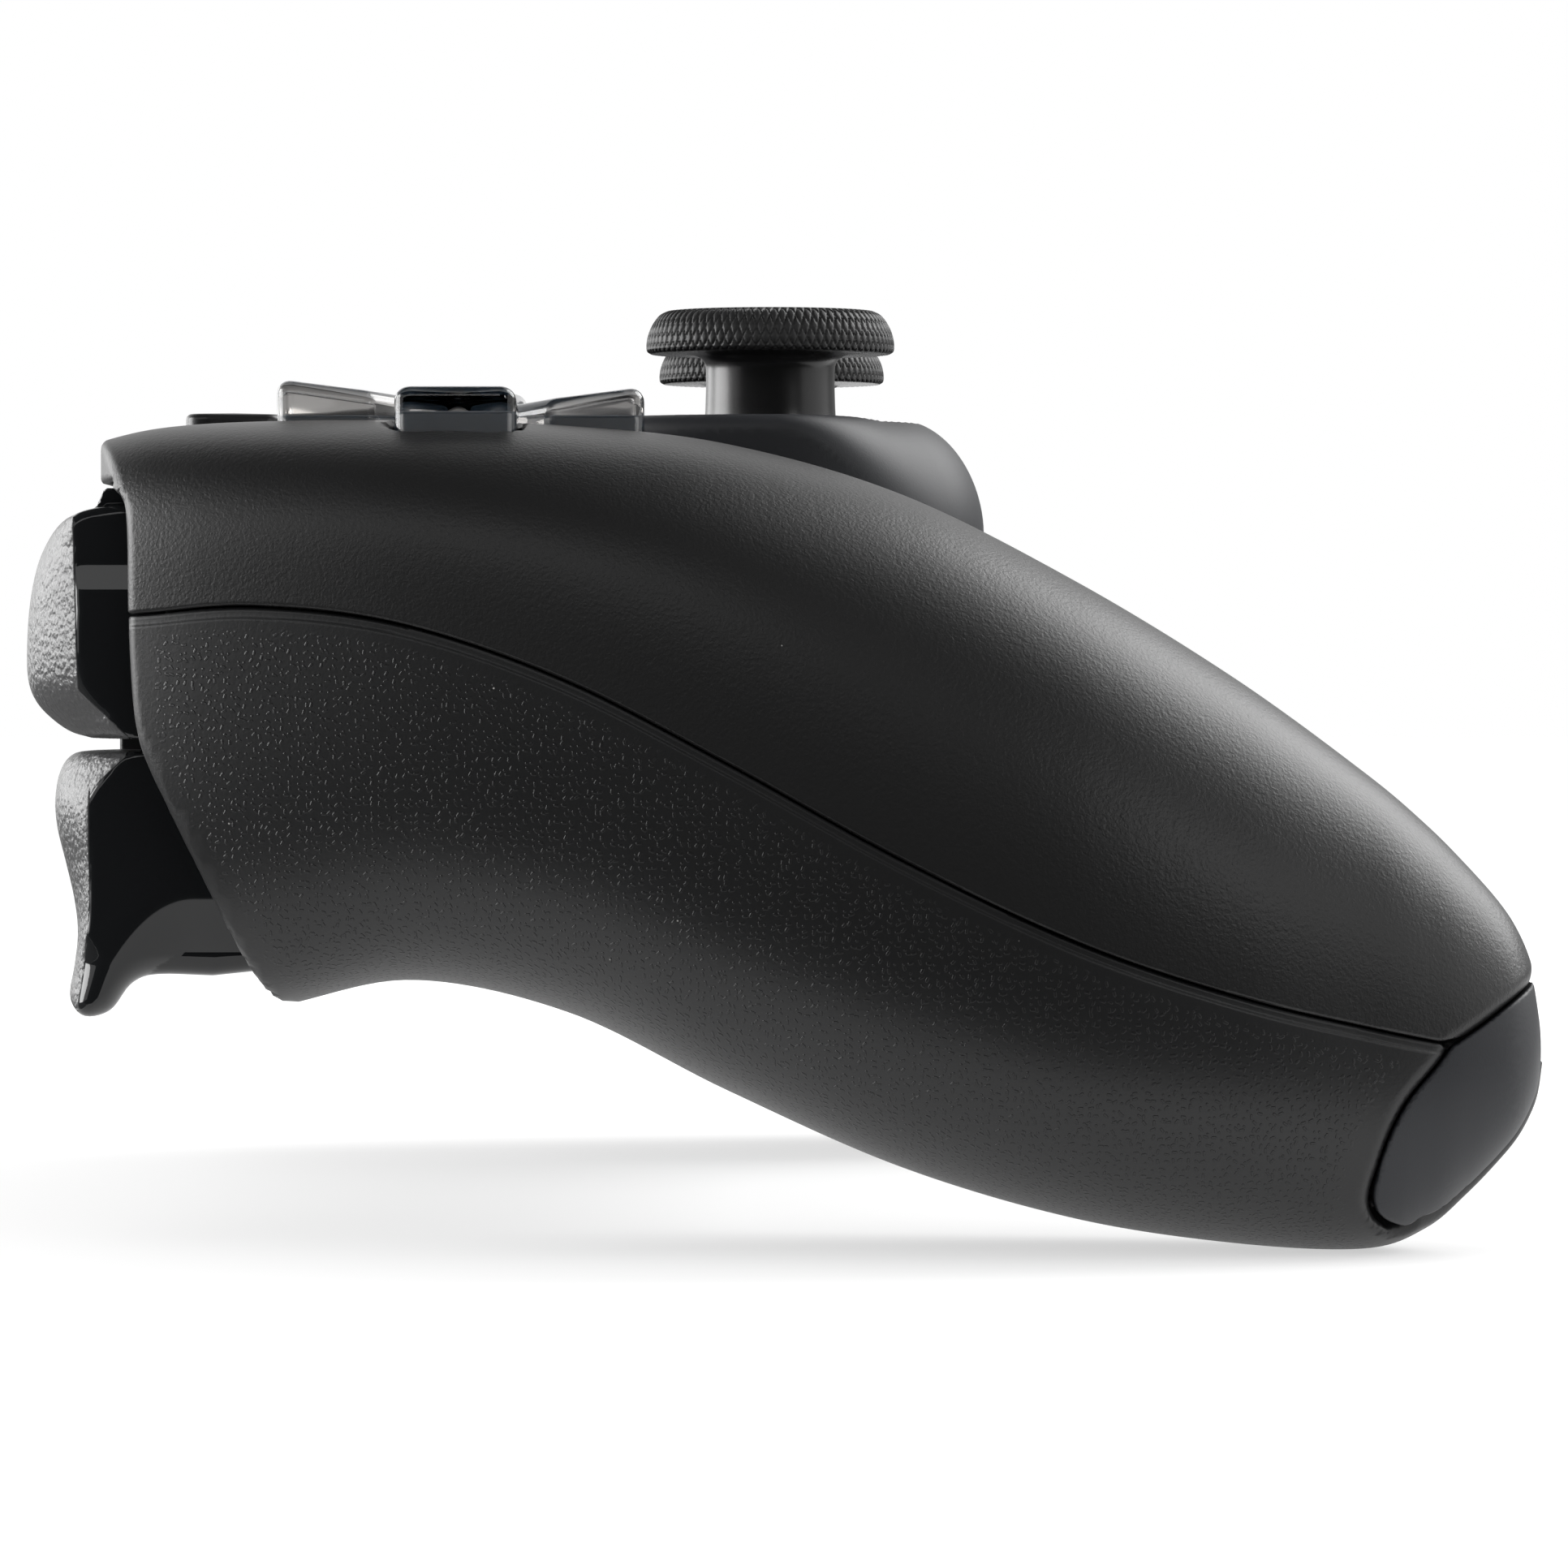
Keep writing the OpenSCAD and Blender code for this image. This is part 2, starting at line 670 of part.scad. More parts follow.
// Plate under the buttons, screwed to the front cover
module button_carrier() {
    color([0.16, 0.16, 0.17])
    difference() {
        translate([0, 0, carrier_z]) linear_extrude(carrier_t) difference() {
            union() {
                for (side = [-1, 1])
                intersection() {
                    translate([side * group_x, group_y]) square([35, 26], center = true);
                    translate([side * group_x, group_y]) circle(19.5);
                }
                translate([0, 25]) square([80, 20], center = true);
                translate([0, 6]) square([16, 27], center = true);
            }
            for (side = [-1, 1]) translate([side * stick_x, stick_y]) circle(dome_r + 1.5);
            for (side = [-1, 1], p = carrier_posts) translate([side * p[0], p[1]]) circle(screw_r + screw_gap);
        }
    }
}
carrier_screw_l = 7;
module carrier_screws() {
    color([0.55, 0.56, 0.58])
    for (side = [-1, 1], p = carrier_posts)
        translate([side * p[0], p[1], carrier_z - screw_head_h]) {
            cylinder(r = screw_head_r, h = screw_head_h);
            cylinder(r = screw_r, h = carrier_screw_l);
        }
}

membrane_t = 0.5;
dome_h = 0.5;
dome_key_r = 2.6;
module membrane_dome(x, y) {
    translate([x, y, membrane_t]) cylinder(r1 = dome_key_r, r2 = dome_key_r - 0.8, h = dome_h);
}
module dpad_membrane() {
    color([0.30, 0.30, 0.32])
    translate([-group_x, group_y, carrier_z + carrier_t]) {
        membrane_sheet();
        for (i = [0:3]) rotate([0, 0, key_turns[i]]) membrane_dome(0, key_reach - 4);
    }
}
module face_membrane() {
    color([0.30, 0.30, 0.32])
    translate([group_x, group_y, carrier_z + carrier_t]) {
        membrane_sheet();
        for (i = [0:3]) rotate([0, 0, key_turns[i]]) membrane_dome(0, button_ring);
    }
}
module membrane_sheet() {
    linear_extrude(membrane_t) {
        square([2 * button_ring + 5.6, 6.4], center = true);
        square([6.4, 2 * button_ring + 3.6], center = true);
    }
}

// Frame that carries the board, the battery and the trigger pins
post_gap = 0.2;
trigger_axis = [front_y - 8, frame_z + 0.2];
ear_t = 1.3;
module mid_frame() {
    color([0.13, 0.13, 0.14])
    difference() {
        union() {
            translate([0, 0, frame_z]) linear_extrude(frame_t) difference() {
                union() {
                    translate([0, 16]) square([100, 36], center = true);
                    translate([0, front_y - 15]) square([2 * (bay_out - 1), 3.4], center = true);
                    translate([0, 8]) square([60, 24], center = true);
                }
            }
            // Standoffs under the board
            for (x = [-38, 38], y = [6, 29])
                translate([x, y, frame_z + frame_t]) cylinder(r = 2, h = 1.5);
            both_sides() {
                trigger_ear(bay_in - 0.4 - ear_t);
                trigger_ear(bay_out - 2.8);
                // Wall behind the bumper and the trigger
                translate([core_x + 0.4, 30.4, 21]) cube([bay_out + 0.6 - core_x, 1.4, 25]);
            }
            // Battery tray walls
            for (side = [-1, 1])
                translate([side * (battery[0] / 2 + 0.8) - 0.6, 17 - battery[1] / 2, frame_z - 4])
                    cube([1.2, battery[1], 4 + eps]);
        }
        both_sides() {
            for (p = cover_posts)
                translate([p[0], p[1], frame_z - 1]) cylinder(r = screw_r + 0.05, h = 4);
            translate([bay_in - 4, trigger_axis[0], trigger_axis[1]]) rotate([0, 90, 0])
                cylinder(r = trigger_pin_r + run_gap, h = bay_out - bay_in + 8);
        }
    }
}
module trigger_ear(x) {
    translate([x, 31, frame_z - 2.8]) cube([ear_t, trigger_axis[0] - 31, 5.8]);
    translate([x, trigger_axis[0], trigger_axis[1]]) rotate([0, 90, 0]) cylinder(r = 3, h = ear_t);
}
board_z = frame_z + frame_t + 1.5;
module main_board() {
    color([0.04, 0.16, 0.10])
    translate([0, 0, board_z]) linear_extrude(board_t) difference() {
        union() {
            translate([0, 15.8]) square([94, 28], center = true);
            translate([0, 13]) square([70, 39], center = true);
            translate([0, 33]) square([24, 22], center = true);
        }
        for (side = [-1, 1]) translate([side * 47, 1]) circle(6);
    }
}
module battery_pack() {
    color([0.20, 0.30, 0.42])
    translate([-battery[0] / 2, 17 - battery[1] / 2, frame_z - battery[2]]) cube(battery);
}

// Haptic motor with its moving mass can and end plates
module haptic_motor() {
    color([0.55, 0.56, 0.58])
    translate(motor_pos) rotate([0, 90, 0]) {
        cylinder(r = motor_r, h = motor_l, center = true);
        cylinder(r = motor_r - 2.5, h = motor_l + 2, center = true);
    }
}
module left_haptic_motor() { mirror([1, 0, 0]) haptic_motor(); }
module right_haptic_motor() { haptic_motor(); }

speaker_r = 6;
module speaker() {
    color([0.12, 0.12, 0.12])
    translate([0, speaker_y + 1, carrier_z + carrier_t]) {
        cylinder(r = speaker_r, h = 2.4);
        cylinder(r = speaker_r - 1.2, h = 3.2);
    }
}

module usb_socket() {
    color([0.62, 0.63, 0.65])
    translate([0, core_front_y - 0.6, usb_z]) rotate([90, 0, 0])
    difference() {
        linear_extrude(8) pill_plan(usb_w, usb_h);
        translate([0, 0, -1]) linear_extrude(7.5) pill_plan(usb_w - 0.6, usb_h - 0.6);
    }
}

jack_nose = 3;
// Headphone socket: a block on the board with a nose through the back cover
module audio_socket() {
    color([0.10, 0.10, 0.10])
    difference() {
        union() {
            translate([-3.2, jack_y + jack_nose, board_z + board_t])
                cube([6.4, jack_l + 1 - jack_nose, jack_z + 3 - board_z - board_t]);
            translate([0, jack_y + jack_nose + eps, jack_z]) rotate([90, 0, 0])
                cylinder(r = jack_r + 0.65, h = jack_nose + eps);
        }
        translate([0, jack_y + jack_l, jack_z]) rotate([90, 0, 0]) cylinder(r = jack_r, h = jack_l + 1);
    }
}
module charge_contacts() {
    color([0.80, 0.68, 0.35])
    for (side = [-1, 1])
        translate([side * charge_x - charge_w / 2, jack_y - 0.4, jack_z - charge_h / 2])
            cube([charge_w, 3 + charge_t, charge_h]);
}

module cover_screws() {
    color([0.55, 0.56, 0.58])
    for (side = [-1, 1], p = cover_posts)
        translate([side * p[0], p[1], screw_seat_z - screw_head_h]) {
            cylinder(r = screw_head_r, h = screw_head_h);
            cylinder(r = screw_r, h = frame_z + frame_t - screw_seat_z + screw_head_h);
        }
}

// Direction key: a wedge that falls towards the group's middle, over a flange
module direction_key(i) {
    color([0.16, 0.17, 0.19])
    at_key(i) {
        translate([0, 0, seat_z - seat_gap - flange_t]) linear_extrude(flange_t) key_plan(button_gap + flange);
        hull() {
            translate([0, 0, seat_z - seat_gap - eps]) linear_extrude(eps) key_plan(0);
            translate([0, 0, key_top_z - key_fall - 1.5]) linear_extrude(eps) key_plan(0);
            intersection() {
                translate([0, 0, key_top_z - key_fall - 1]) linear_extrude(3) key_plan(-0.5);
                translate([-key_w, 0, 0]) rotate([90, 0, 90]) linear_extrude(2 * key_w)
                    polygon([[0, 0], [key_reach, 0], [key_reach, key_top_z], [0, key_top_z - key_fall]]);
            }
        }
    }
}
module dpad_up() { direction_key(0); }
module dpad_down() { direction_key(1); }
module dpad_left() { direction_key(2); }
module dpad_right() { direction_key(3); }

// Face button: a domed cap over a flange that stops short of the cover's side
module face_button(i) {
    low_z = seat_z - seat_gap - flange_t;
    color([0.16, 0.17, 0.19]) {
        intersection() {
            at_button(i) translate([0, 0, low_z]) cylinder(r = button_r + button_gap + flange, h = flange_t);
            translate([group_x, group_y, low_z - 1]) cylinder(r = button_ring + button_r - 0.2, h = 5);
        }
        at_button(i) rotate_extrude() polygon(concat(
            [[0, low_z], [button_r, low_z]],
            [for (a = [0:15:75]) [button_r - 1 + cos(a), button_top_z - 1.3 + sin(a)]],
            [[button_r / 2, button_top_z - 0.08], [0, button_top_z]]
        ));
    }
}
module button_north() { face_button(0); }
module button_south() { face_button(1); }
module button_west() { face_button(2); }
module button_east() { face_button(3); }

menu_top_z = face_z + 1;
module menu_button(side) {
    color([0.10, 0.10, 0.11])
    at_menu(side) {
        translate([0, 0, menu_seat_z - seat_gap - menu_flange_t])
            linear_extrude(menu_flange_t) pill_plan(menu_l, menu_w, button_gap + flange);
        translate([0, 0, menu_seat_z - seat_gap - eps])
            linear_extrude(menu_top_z - menu_seat_z + seat_gap + eps) pill_plan(menu_l, menu_w);
    }
}
module create_button() { menu_button(-1); }
module options_button() { menu_button(1); }

module home_button() {
    color([0.10, 0.10, 0.11])
    translate([0, home_y, trim_seat_z - seat_gap - flange_t]) {
        cylinder(r = home_r + button_gap + flange, h = flange_t);
        cylinder(r = home_r, h = pod_z + 0.5 - trim_seat_z + seat_gap + flange_t);
    }
}
module mute_button() {
    color([0.10, 0.10, 0.11])
    translate([0, mute_y, trim_seat_z - seat_gap - flange_t]) {
        linear_extrude(flange_t) pill_plan(mute_l, mute_w, button_gap + flange);
        linear_extrude(pod_z + 0.4 - trim_seat_z + seat_gap + flange_t) pill_plan(mute_l, mute_w);
    }
}

// Stick: base with ears, gimbal ring, post, and a thumb cap with its dome
base_w = 15;
ring_out = 11;
ring_in = 7;
ring_h = 3;
axle_r = 0.8;
base_top_z = pivot_z - 3.4;
module stick_base() {
    color([0.35, 0.36, 0.38])
    translate([stick_x, stick_y, 0])
    difference() {
        union() {
            translate([-base_w / 2, -base_w / 2, board_z + board_t])
                cube([base_w, base_w, base_top_z - board_z - board_t]);
            for (side = [-1, 1])
                translate([side * (base_w / 2 - 0.7) - 0.7, -2, base_top_z - eps])
                    cube([1.4, 4, pivot_z + 1.8 - base_top_z]);
        }
        translate([-far / 2, 0, pivot_z]) rotate([0, 90, 0]) cylinder(r = axle_r + run_gap, h = far);
    }
}
module stick_yoke() {
    color([0.75, 0.75, 0.72])
    translate([stick_x, stick_y, pivot_z])
    difference() {
        union() {
            difference() {
                cube([ring_out, ring_out, ring_h], center = true);
                cube([ring_in, ring_in, ring_h + 1], center = true);
            }
            for (side = [0, 180])
                rotate([0, 90, side]) translate([0, 0, ring_out / 2 - eps])
                    cylinder(r = axle_r, h = (base_w - ring_out) / 2);
        }
        rotate([90, 0, 0]) cylinder(r = axle_r + run_gap, h = far, center = true);
    }
}
post_top_z = pivot_z + 11;
module stick_post() {
    color([0.75, 0.75, 0.72])
    translate([stick_x, stick_y, pivot_z]) {
        translate([0, 0, -2]) cylinder(r = post_r, h = post_top_z - pivot_z + 2);
        rotate([90, 0, 0]) cylinder(r = axle_r, h = ring_out, center = true);
    }
}
hub_r = 3.8;
dome_t = 1.2;
dome_polar = 75;
cap_dish = 0.8;
cap_chamfer = 1.35;
hub_low_z = pivot_z + 5;
module stick_cap() {
    dome_in = dome_r - dome_t;
    cap_low_z = cap_top_z - cap_h;
    color([0.06, 0.06, 0.065])
    translate([stick_x, stick_y, 0])
    difference() {
        // One profile: dished top, rim, neck, dome and hub
        rotate_extrude() polygon(concat(
            [[0, cap_top_z - cap_dish], [cap_r / 2, cap_top_z - cap_dish * 0.85], [cap_r - 2.8, cap_top_z - 0.1],
                [cap_r - cap_chamfer - 0.6, cap_top_z], [cap_r - cap_chamfer, cap_top_z - 0.25],
                [cap_r - 0.2, cap_low_z + 1.5], [cap_r, cap_low_z + 0.7], [cap_r - 0.6, cap_low_z], [neck_r, cap_low_z]],
            [for (a = [25:5:dome_polar]) [dome_r * sin(a), pivot_z + dome_r * cos(a)]],
            [for (a = [dome_polar:-5:25]) [dome_in * sin(a), pivot_z + dome_in * cos(a)]],
            [[hub_r, pivot_z + dome_in * cos(asin(hub_r / dome_in))], [hub_r, hub_low_z], [0, hub_low_z]]
        ));
        translate([0, 0, hub_low_z - 1])
            cylinder(r = post_r + run_gap, h = post_top_z - hub_low_z + 1 + click_travel + 0.3);
    }
}
module left_stick_base() { mirror([1, 0, 0]) stick_base(); }
module left_stick_yoke() { mirror([1, 0, 0]) stick_yoke(); }
module left_stick_post() { mirror([1, 0, 0]) stick_post(); }
module left_stick_cap() { mirror([1, 0, 0]) stick_cap(); }
module right_stick_base() { stick_base(); }
module right_stick_yoke() { stick_yoke(); }
module right_stick_post() { stick_post(); }
module right_stick_cap() { stick_cap(); }

// Smooth open curve through hand-chosen points
function curve_point(p, k) =
    let (i = min(floor(k), len(p) - 2), n = len(p) - 1)
    blend4(i < 1 ? 2 * p[0] - p[1] : p[i - 1], p[i], p[i + 1], i + 2 > n ? 2 * p[n] - p[n - 1] : p[i + 2], k - i);
function curve(p, steps = 3) = [for (k = [0:(len(p) - 1) * steps]) curve_point(p, k / steps)];

// Front corners of the bumper and the trigger, in plan
shoulder_round = 7;
module shoulder_plan(out, front, back) {
    hull() {
        translate([bay_in, back]) square([out - bay_in, eps]);
        translate([bay_in + 2, front - 2]) circle(2, $fn = 24);
        translate([out - shoulder_round, front - shoulder_round]) circle(shoulder_round, $fn = 40);
    }
}

bumper_front_y = -tip_y - trim_step - 0.06;
bumper_face = [
    [bumper_front_y - 3.2, 50.6], [bumper_front_y - 1.6, 49.2], [bumper_front_y - 0.5, 46],
    [bumper_front_y, 42], [bumper_front_y, 38.8], [bumper_front_y - 0.9, 36.8], [bumper_front_y - 3.6, 35.3]
];
bumper_back_y = front_y - 5.8;
module bumper() {
    color([0.07, 0.07, 0.075])
    difference() {
        intersection() {
            along_x(bay_in, bay_out + 1) polygon(concat(
                curve(bumper_face),
                [[front_y - 2.7, 35.3], [bumper_back_y, 38], [bumper_back_y, 51.2], [bumper_front_y - 5.5, 51.4]]
            ));
            translate([0, 0, 30]) linear_extrude(30) shoulder_plan(bay_out + 1, bumper_front_y + 0.3, bumper_back_y);
        }
        translate([bay_in - 4, bumper_axis[0], bumper_axis[1]]) rotate([0, 90, 0])
            cylinder(r = bumper_pin_r + run_gap, h = far);
    }
}
module bumper_pin() {
    color([0.62, 0.63, 0.65])
    translate([core_x - 1.6, bumper_axis[0], bumper_axis[1]]) rotate([0, 90, 0])
        cylinder(r = bumper_pin_r, h = bay_out + 2.6 - core_x + 1.6);
}
module left_bumper() { mirror([1, 0, 0]) bumper(); }
module right_bumper() { bumper(); }
module left_bumper_pin() { mirror([1, 0, 0]) bumper_pin(); }
module right_bumper_pin() { bumper_pin(); }

// Trigger: a hooked face, its underside, and the hub round its pin
trigger_top_z = 34.4;
trigger_face = [
    [49.6, trigger_top_z], [50.6, 32.4], [50.7, 30], [50.1, 27.2], [49.3, 24], [49.1, 21.6],
    [49.6, 18.8], [50, 16.7], [49, 15.8], [47.6, 16.1], [46.2, 18], [44.4, 18.7], [40.5, 18.5]
];
trigger_back_y = 37;
hub_trigger_r = 3.2;
module trigger() {
    color([0.07, 0.07, 0.075])
    difference() {
        intersection() {
            along_x(bay_in, bay_out) polygon(concat(
                curve(trigger_face),
                [[trigger_back_y, 19.2], [trigger_back_y - 0.4, 25], [trigger_back_y, 28.5], [43.4, 29.5], [44.2, trigger_top_z]]
            ));
            translate([0, 0, 10]) linear_extrude(30) shoulder_plan(bay_out, 51, trigger_back_y - 1);
        }
        trigger_pocket();
        translate([0, trigger_axis[0], trigger_axis[1]]) rotate([0, 90, 0]) cylinder(r = trigger_pin_r + run_gap, h = far);
    }
    difference() {
        translate([trigger_hub_x[0], trigger_axis[0], trigger_axis[1]]) rotate([0, 90, 0]) {
            cylinder(r = hub_trigger_r, h = trigger_hub_x[1] - trigger_hub_x[0]);
            translate([0, -2.4, 0]) cube([5.4, 4.8, trigger_hub_x[1] - trigger_hub_x[0]]);
        }
        translate([0, trigger_axis[0], trigger_axis[1]]) rotate([0, 90, 0]) cylinder(r = trigger_pin_r + run_gap, h = far);
    }
}
trigger_hub_x = [bay_in + 6, bay_out - 8];
// Hollow behind the trigger's face
module trigger_pocket() {
    translate([bay_in + 3, trigger_back_y - 2, 21]) cube([bay_out - bay_in - 7, 8, 8]);
}
module trigger_pin() {
    color([0.62, 0.63, 0.65])
    translate([bay_in - 0.4 - ear_t, trigger_axis[0], trigger_axis[1]]) rotate([0, 90, 0])
        cylinder(r = trigger_pin_r, h = bay_out - bay_in - 2.4 + 2 * ear_t);
}
// Torsion spring round the pin, beside the hub
spring_wire_r = 0.35;
spring_turns = 4;
spring_pitch = 0.95;
spring_steps = 8;
spring_r = trigger_pin_r + 0.25 + spring_wire_r;
module trigger_spring() {
    n = spring_turns * spring_steps;
    sides = 6;
    start = trigger_hub_x[0] - 0.5 - spring_turns * spring_pitch - spring_wire_r;
    points = [for (i = [0:n], j = [0:sides - 1])
        let (a = i * 360 / spring_steps, b = j * 360 / sides, r = spring_r + spring_wire_r * cos(b))
        [start + i * spring_pitch / spring_steps + spring_wire_r * sin(b),
            trigger_axis[0] + r * cos(a), trigger_axis[1] + r * sin(a)]];
    faces = concat(
        [[for (j = [sides - 1:-1:0]) j], [for (j = [0:sides - 1]) n * sides + j]],
        [for (i = [0:n - 1], j = [0:sides - 1]) let (a = i * sides, b = (j + 1) % sides) [a + j, a + b, a + sides + b]],
        [for (i = [0:n - 1], j = [0:sides - 1]) let (a = i * sides, b = (j + 1) % sides) [a + j, a + sides + b, a + sides + j]]
    );
    color([0.62, 0.63, 0.65]) polyhedron(points, faces);
}
module left_trigger() { mirror([1, 0, 0]) trigger(); }
module right_trigger() { trigger(); }
module left_trigger_pin() { mirror([1, 0, 0]) trigger_pin(); }
module right_trigger_pin() { trigger_pin(); }
module left_trigger_spring() { mirror([1, 0, 0]) trigger_spring(); }
module right_trigger_spring() { trigger_spring(); }

front_cover();
back_cover();
center_trim();
light_guides();
touchpad();
touchpad_board();
button_carrier();
dpad_membrane();
face_membrane();
mid_frame();
main_board();
battery_pack();
left_haptic_motor();
right_haptic_motor();
speaker();
usb_socket();
audio_socket();
charge_contacts();
cover_screws();
carrier_screws();
dpad_up();
dpad_down();
dpad_left();
dpad_right();
button_north();
button_south();
button_west();
button_east();
create_button();
options_button();
home_button();
mute_button();
left_stick_base();
left_stick_yoke();
left_stick_post();
left_stick_cap();
right_stick_base();
right_stick_yoke();
right_stick_post();
right_stick_cap();
left_bumper();
right_bumper();
left_bumper_pin();
right_bumper_pin();
left_trigger();
right_trigger();
left_trigger_pin();
right_trigger_pin();
left_trigger_spring();
right_trigger_spring();
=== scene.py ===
import math
import bpy
import numpy as np
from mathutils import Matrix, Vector


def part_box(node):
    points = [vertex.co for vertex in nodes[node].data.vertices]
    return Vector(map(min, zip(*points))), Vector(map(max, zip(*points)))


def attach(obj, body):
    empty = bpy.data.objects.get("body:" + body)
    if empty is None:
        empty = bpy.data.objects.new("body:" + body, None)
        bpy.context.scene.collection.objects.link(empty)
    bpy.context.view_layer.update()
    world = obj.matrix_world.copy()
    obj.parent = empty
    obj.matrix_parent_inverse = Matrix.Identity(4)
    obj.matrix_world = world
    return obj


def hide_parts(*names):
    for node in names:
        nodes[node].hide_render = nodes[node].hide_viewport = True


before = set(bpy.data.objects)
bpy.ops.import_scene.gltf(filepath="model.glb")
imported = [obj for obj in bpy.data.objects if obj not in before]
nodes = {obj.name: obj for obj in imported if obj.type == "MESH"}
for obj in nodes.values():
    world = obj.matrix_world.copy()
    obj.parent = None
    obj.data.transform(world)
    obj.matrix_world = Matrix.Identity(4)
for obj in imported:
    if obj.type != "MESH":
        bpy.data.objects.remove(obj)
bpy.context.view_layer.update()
scene = bpy.context.scene
print("frame loaded:", len(nodes), "nodes")

# camera: level with the grips on the player's left, looking across the pad
shot = {"eye": (-0.6, 0.0, 0.0401), "lens": 179.0, "lookDown": 0.84}
camData = bpy.data.cameras.new("camera")
camData.lens = shot["lens"]
camData.sensor_width = 36
camData.clip_end = 20
camera = bpy.data.objects.new("camera", camData)
camera.location = shot["eye"]
camera.rotation_euler = (math.radians(90 - shot["lookDown"]), 0, math.radians(-90))
scene.collection.objects.link(camera)
scene.camera = camera
scene.view_settings.view_transform = "Standard"


# mesh helpers: all sizes below are in millimetres, meshes in metres

def smoothStep(a, b, v):
    t = np.clip((v - a) / (b - a), 0, 1)
    return t * t * (3 - 2 * t)


def roundMax(a, b, r):  # both insides at once, with the outer edge between them rounded to radius r
    return np.minimum(-r, np.maximum(a, b)) + np.hypot(np.maximum(a + r, 0), np.maximum(b + r, 0))


def roundMin(a, b, r):  # either inside, with the inner corner between them filled to radius r
    return -roundMax(-a, -b, r)


def throughPoints(points, steps):  # Catmull-Rom curve through listed rows, end rows mirrored
    p = np.asarray(points, float)
    q = np.vstack([2 * p[0] - p[1], p, 2 * p[-1] - p[-2]])
    k = np.linspace(0, len(p) - 1, (len(p) - 1) * steps + 1)
    i = np.minimum(k.astype(int), len(p) - 2)
    t = (k - i)[:, None]
    a, b, c, d = q[i], q[i + 1], q[i + 2], q[i + 3]
    square, cube = 2 * a - 5 * b + 4 * c - d, 3 * b - a - 3 * c + d
    return 0.5 * (2 * b + (c - a) * t + square * t ** 2 + cube * t ** 3)


def putMesh(name, points, faces, normals=None, sharp=None):  # faces: arrays of vertex rows, of any widths
    mesh = bpy.data.meshes.new(name)
    faces = [np.ascontiguousarray(f, np.int32) for f in (faces if isinstance(faces, list) else [faces])]
    widths = np.concatenate([np.full(len(f), f.shape[1], np.int32) for f in faces])
    corners = np.concatenate([f.ravel() for f in faces])
    mesh.vertices.add(len(points))
    mesh.vertices.foreach_set("co", (np.asarray(points, float) * 0.001).ravel())
    mesh.loops.add(len(corners))
    mesh.loops.foreach_set("vertex_index", corners)
    mesh.polygons.add(len(widths))
    mesh.polygons.foreach_set("loop_start", np.concatenate([[0], np.cumsum(widths)[:-1]]).astype(np.int32))
    mesh.polygons.foreach_set("use_smooth", np.ones(len(widths), bool))
    mesh.update(calc_edges=True)
    mesh.validate()
    if normals is not None:
        mesh.normals_split_custom_set_from_vertices(normals)
    if sharp is not None:
        mesh.set_sharp_from_angle(angle=math.radians(sharp))
    piece = bpy.data.objects.new(name, mesh)
    scene.collection.objects.link(piece)
    return piece


def ringStack(name, rings, low, high, sharp=40):  # rings from the bottom up, closed at two middle points
    m, n = rings.shape[:2]
    a = np.arange(m - 1)[:, None] * n + np.arange(n)
    b = np.arange(m - 1)[:, None] * n + (np.arange(n) + 1) % n
    quads = np.stack([a, b, b + n, a + n], -1).reshape(-1, 4)
    first, second = np.arange(n), (np.arange(n) + 1) % n
    ends = np.concatenate([np.stack([np.full(n, m * n), second, first], 1),
                           np.stack([np.full(n, m * n + 1), first + (m - 1) * n, second + (m - 1) * n], 1)])
    return putMesh(name, np.vstack([rings.reshape(-1, 3), [low], [high]]), [quads, ends], sharp=sharp)


def turned(name, profile, middle, count=96, sharp=40):  # radius and height turned about an upright axis
    profile = np.asarray(profile, float)
    a = np.linspace(0, 2 * math.pi, count, endpoint=False)
    r, z = profile[1:-1, 0, None], profile[1:-1, 1, None]
    rings = np.stack([middle[0] + r * np.cos(a), middle[1] + r * np.sin(a), z + 0 * a], -1)
    return ringStack(name, rings, (*middle, profile[0, 1]), (*middle, profile[-1, 1]), sharp)


def roundedOutline(corners, radius, perCorner=9):  # arc middles and outward directions
    c = np.asarray(corners, float)
    side = np.roll(c, -1, 0) - c
    out = np.stack([side[:, 1], -side[:, 0]], 1) / np.linalg.norm(side, axis=1, keepdims=True)
    before = np.roll(out, 1, 0)
    start = np.arctan2(before[:, 1], before[:, 0])
    sweep = (np.arctan2(out[:, 1], out[:, 0]) - start) % (2 * math.pi)
    middle = c - radius * (before + out) / (1 + np.sum(before * out, 1, keepdims=True))
    angle = start[:, None] + sweep[:, None] * np.linspace(0, 1, perCorner)
    return np.repeat(middle, perCorner, 0), np.stack([np.cos(angle), np.sin(angle)], -1).reshape(-1, 2)


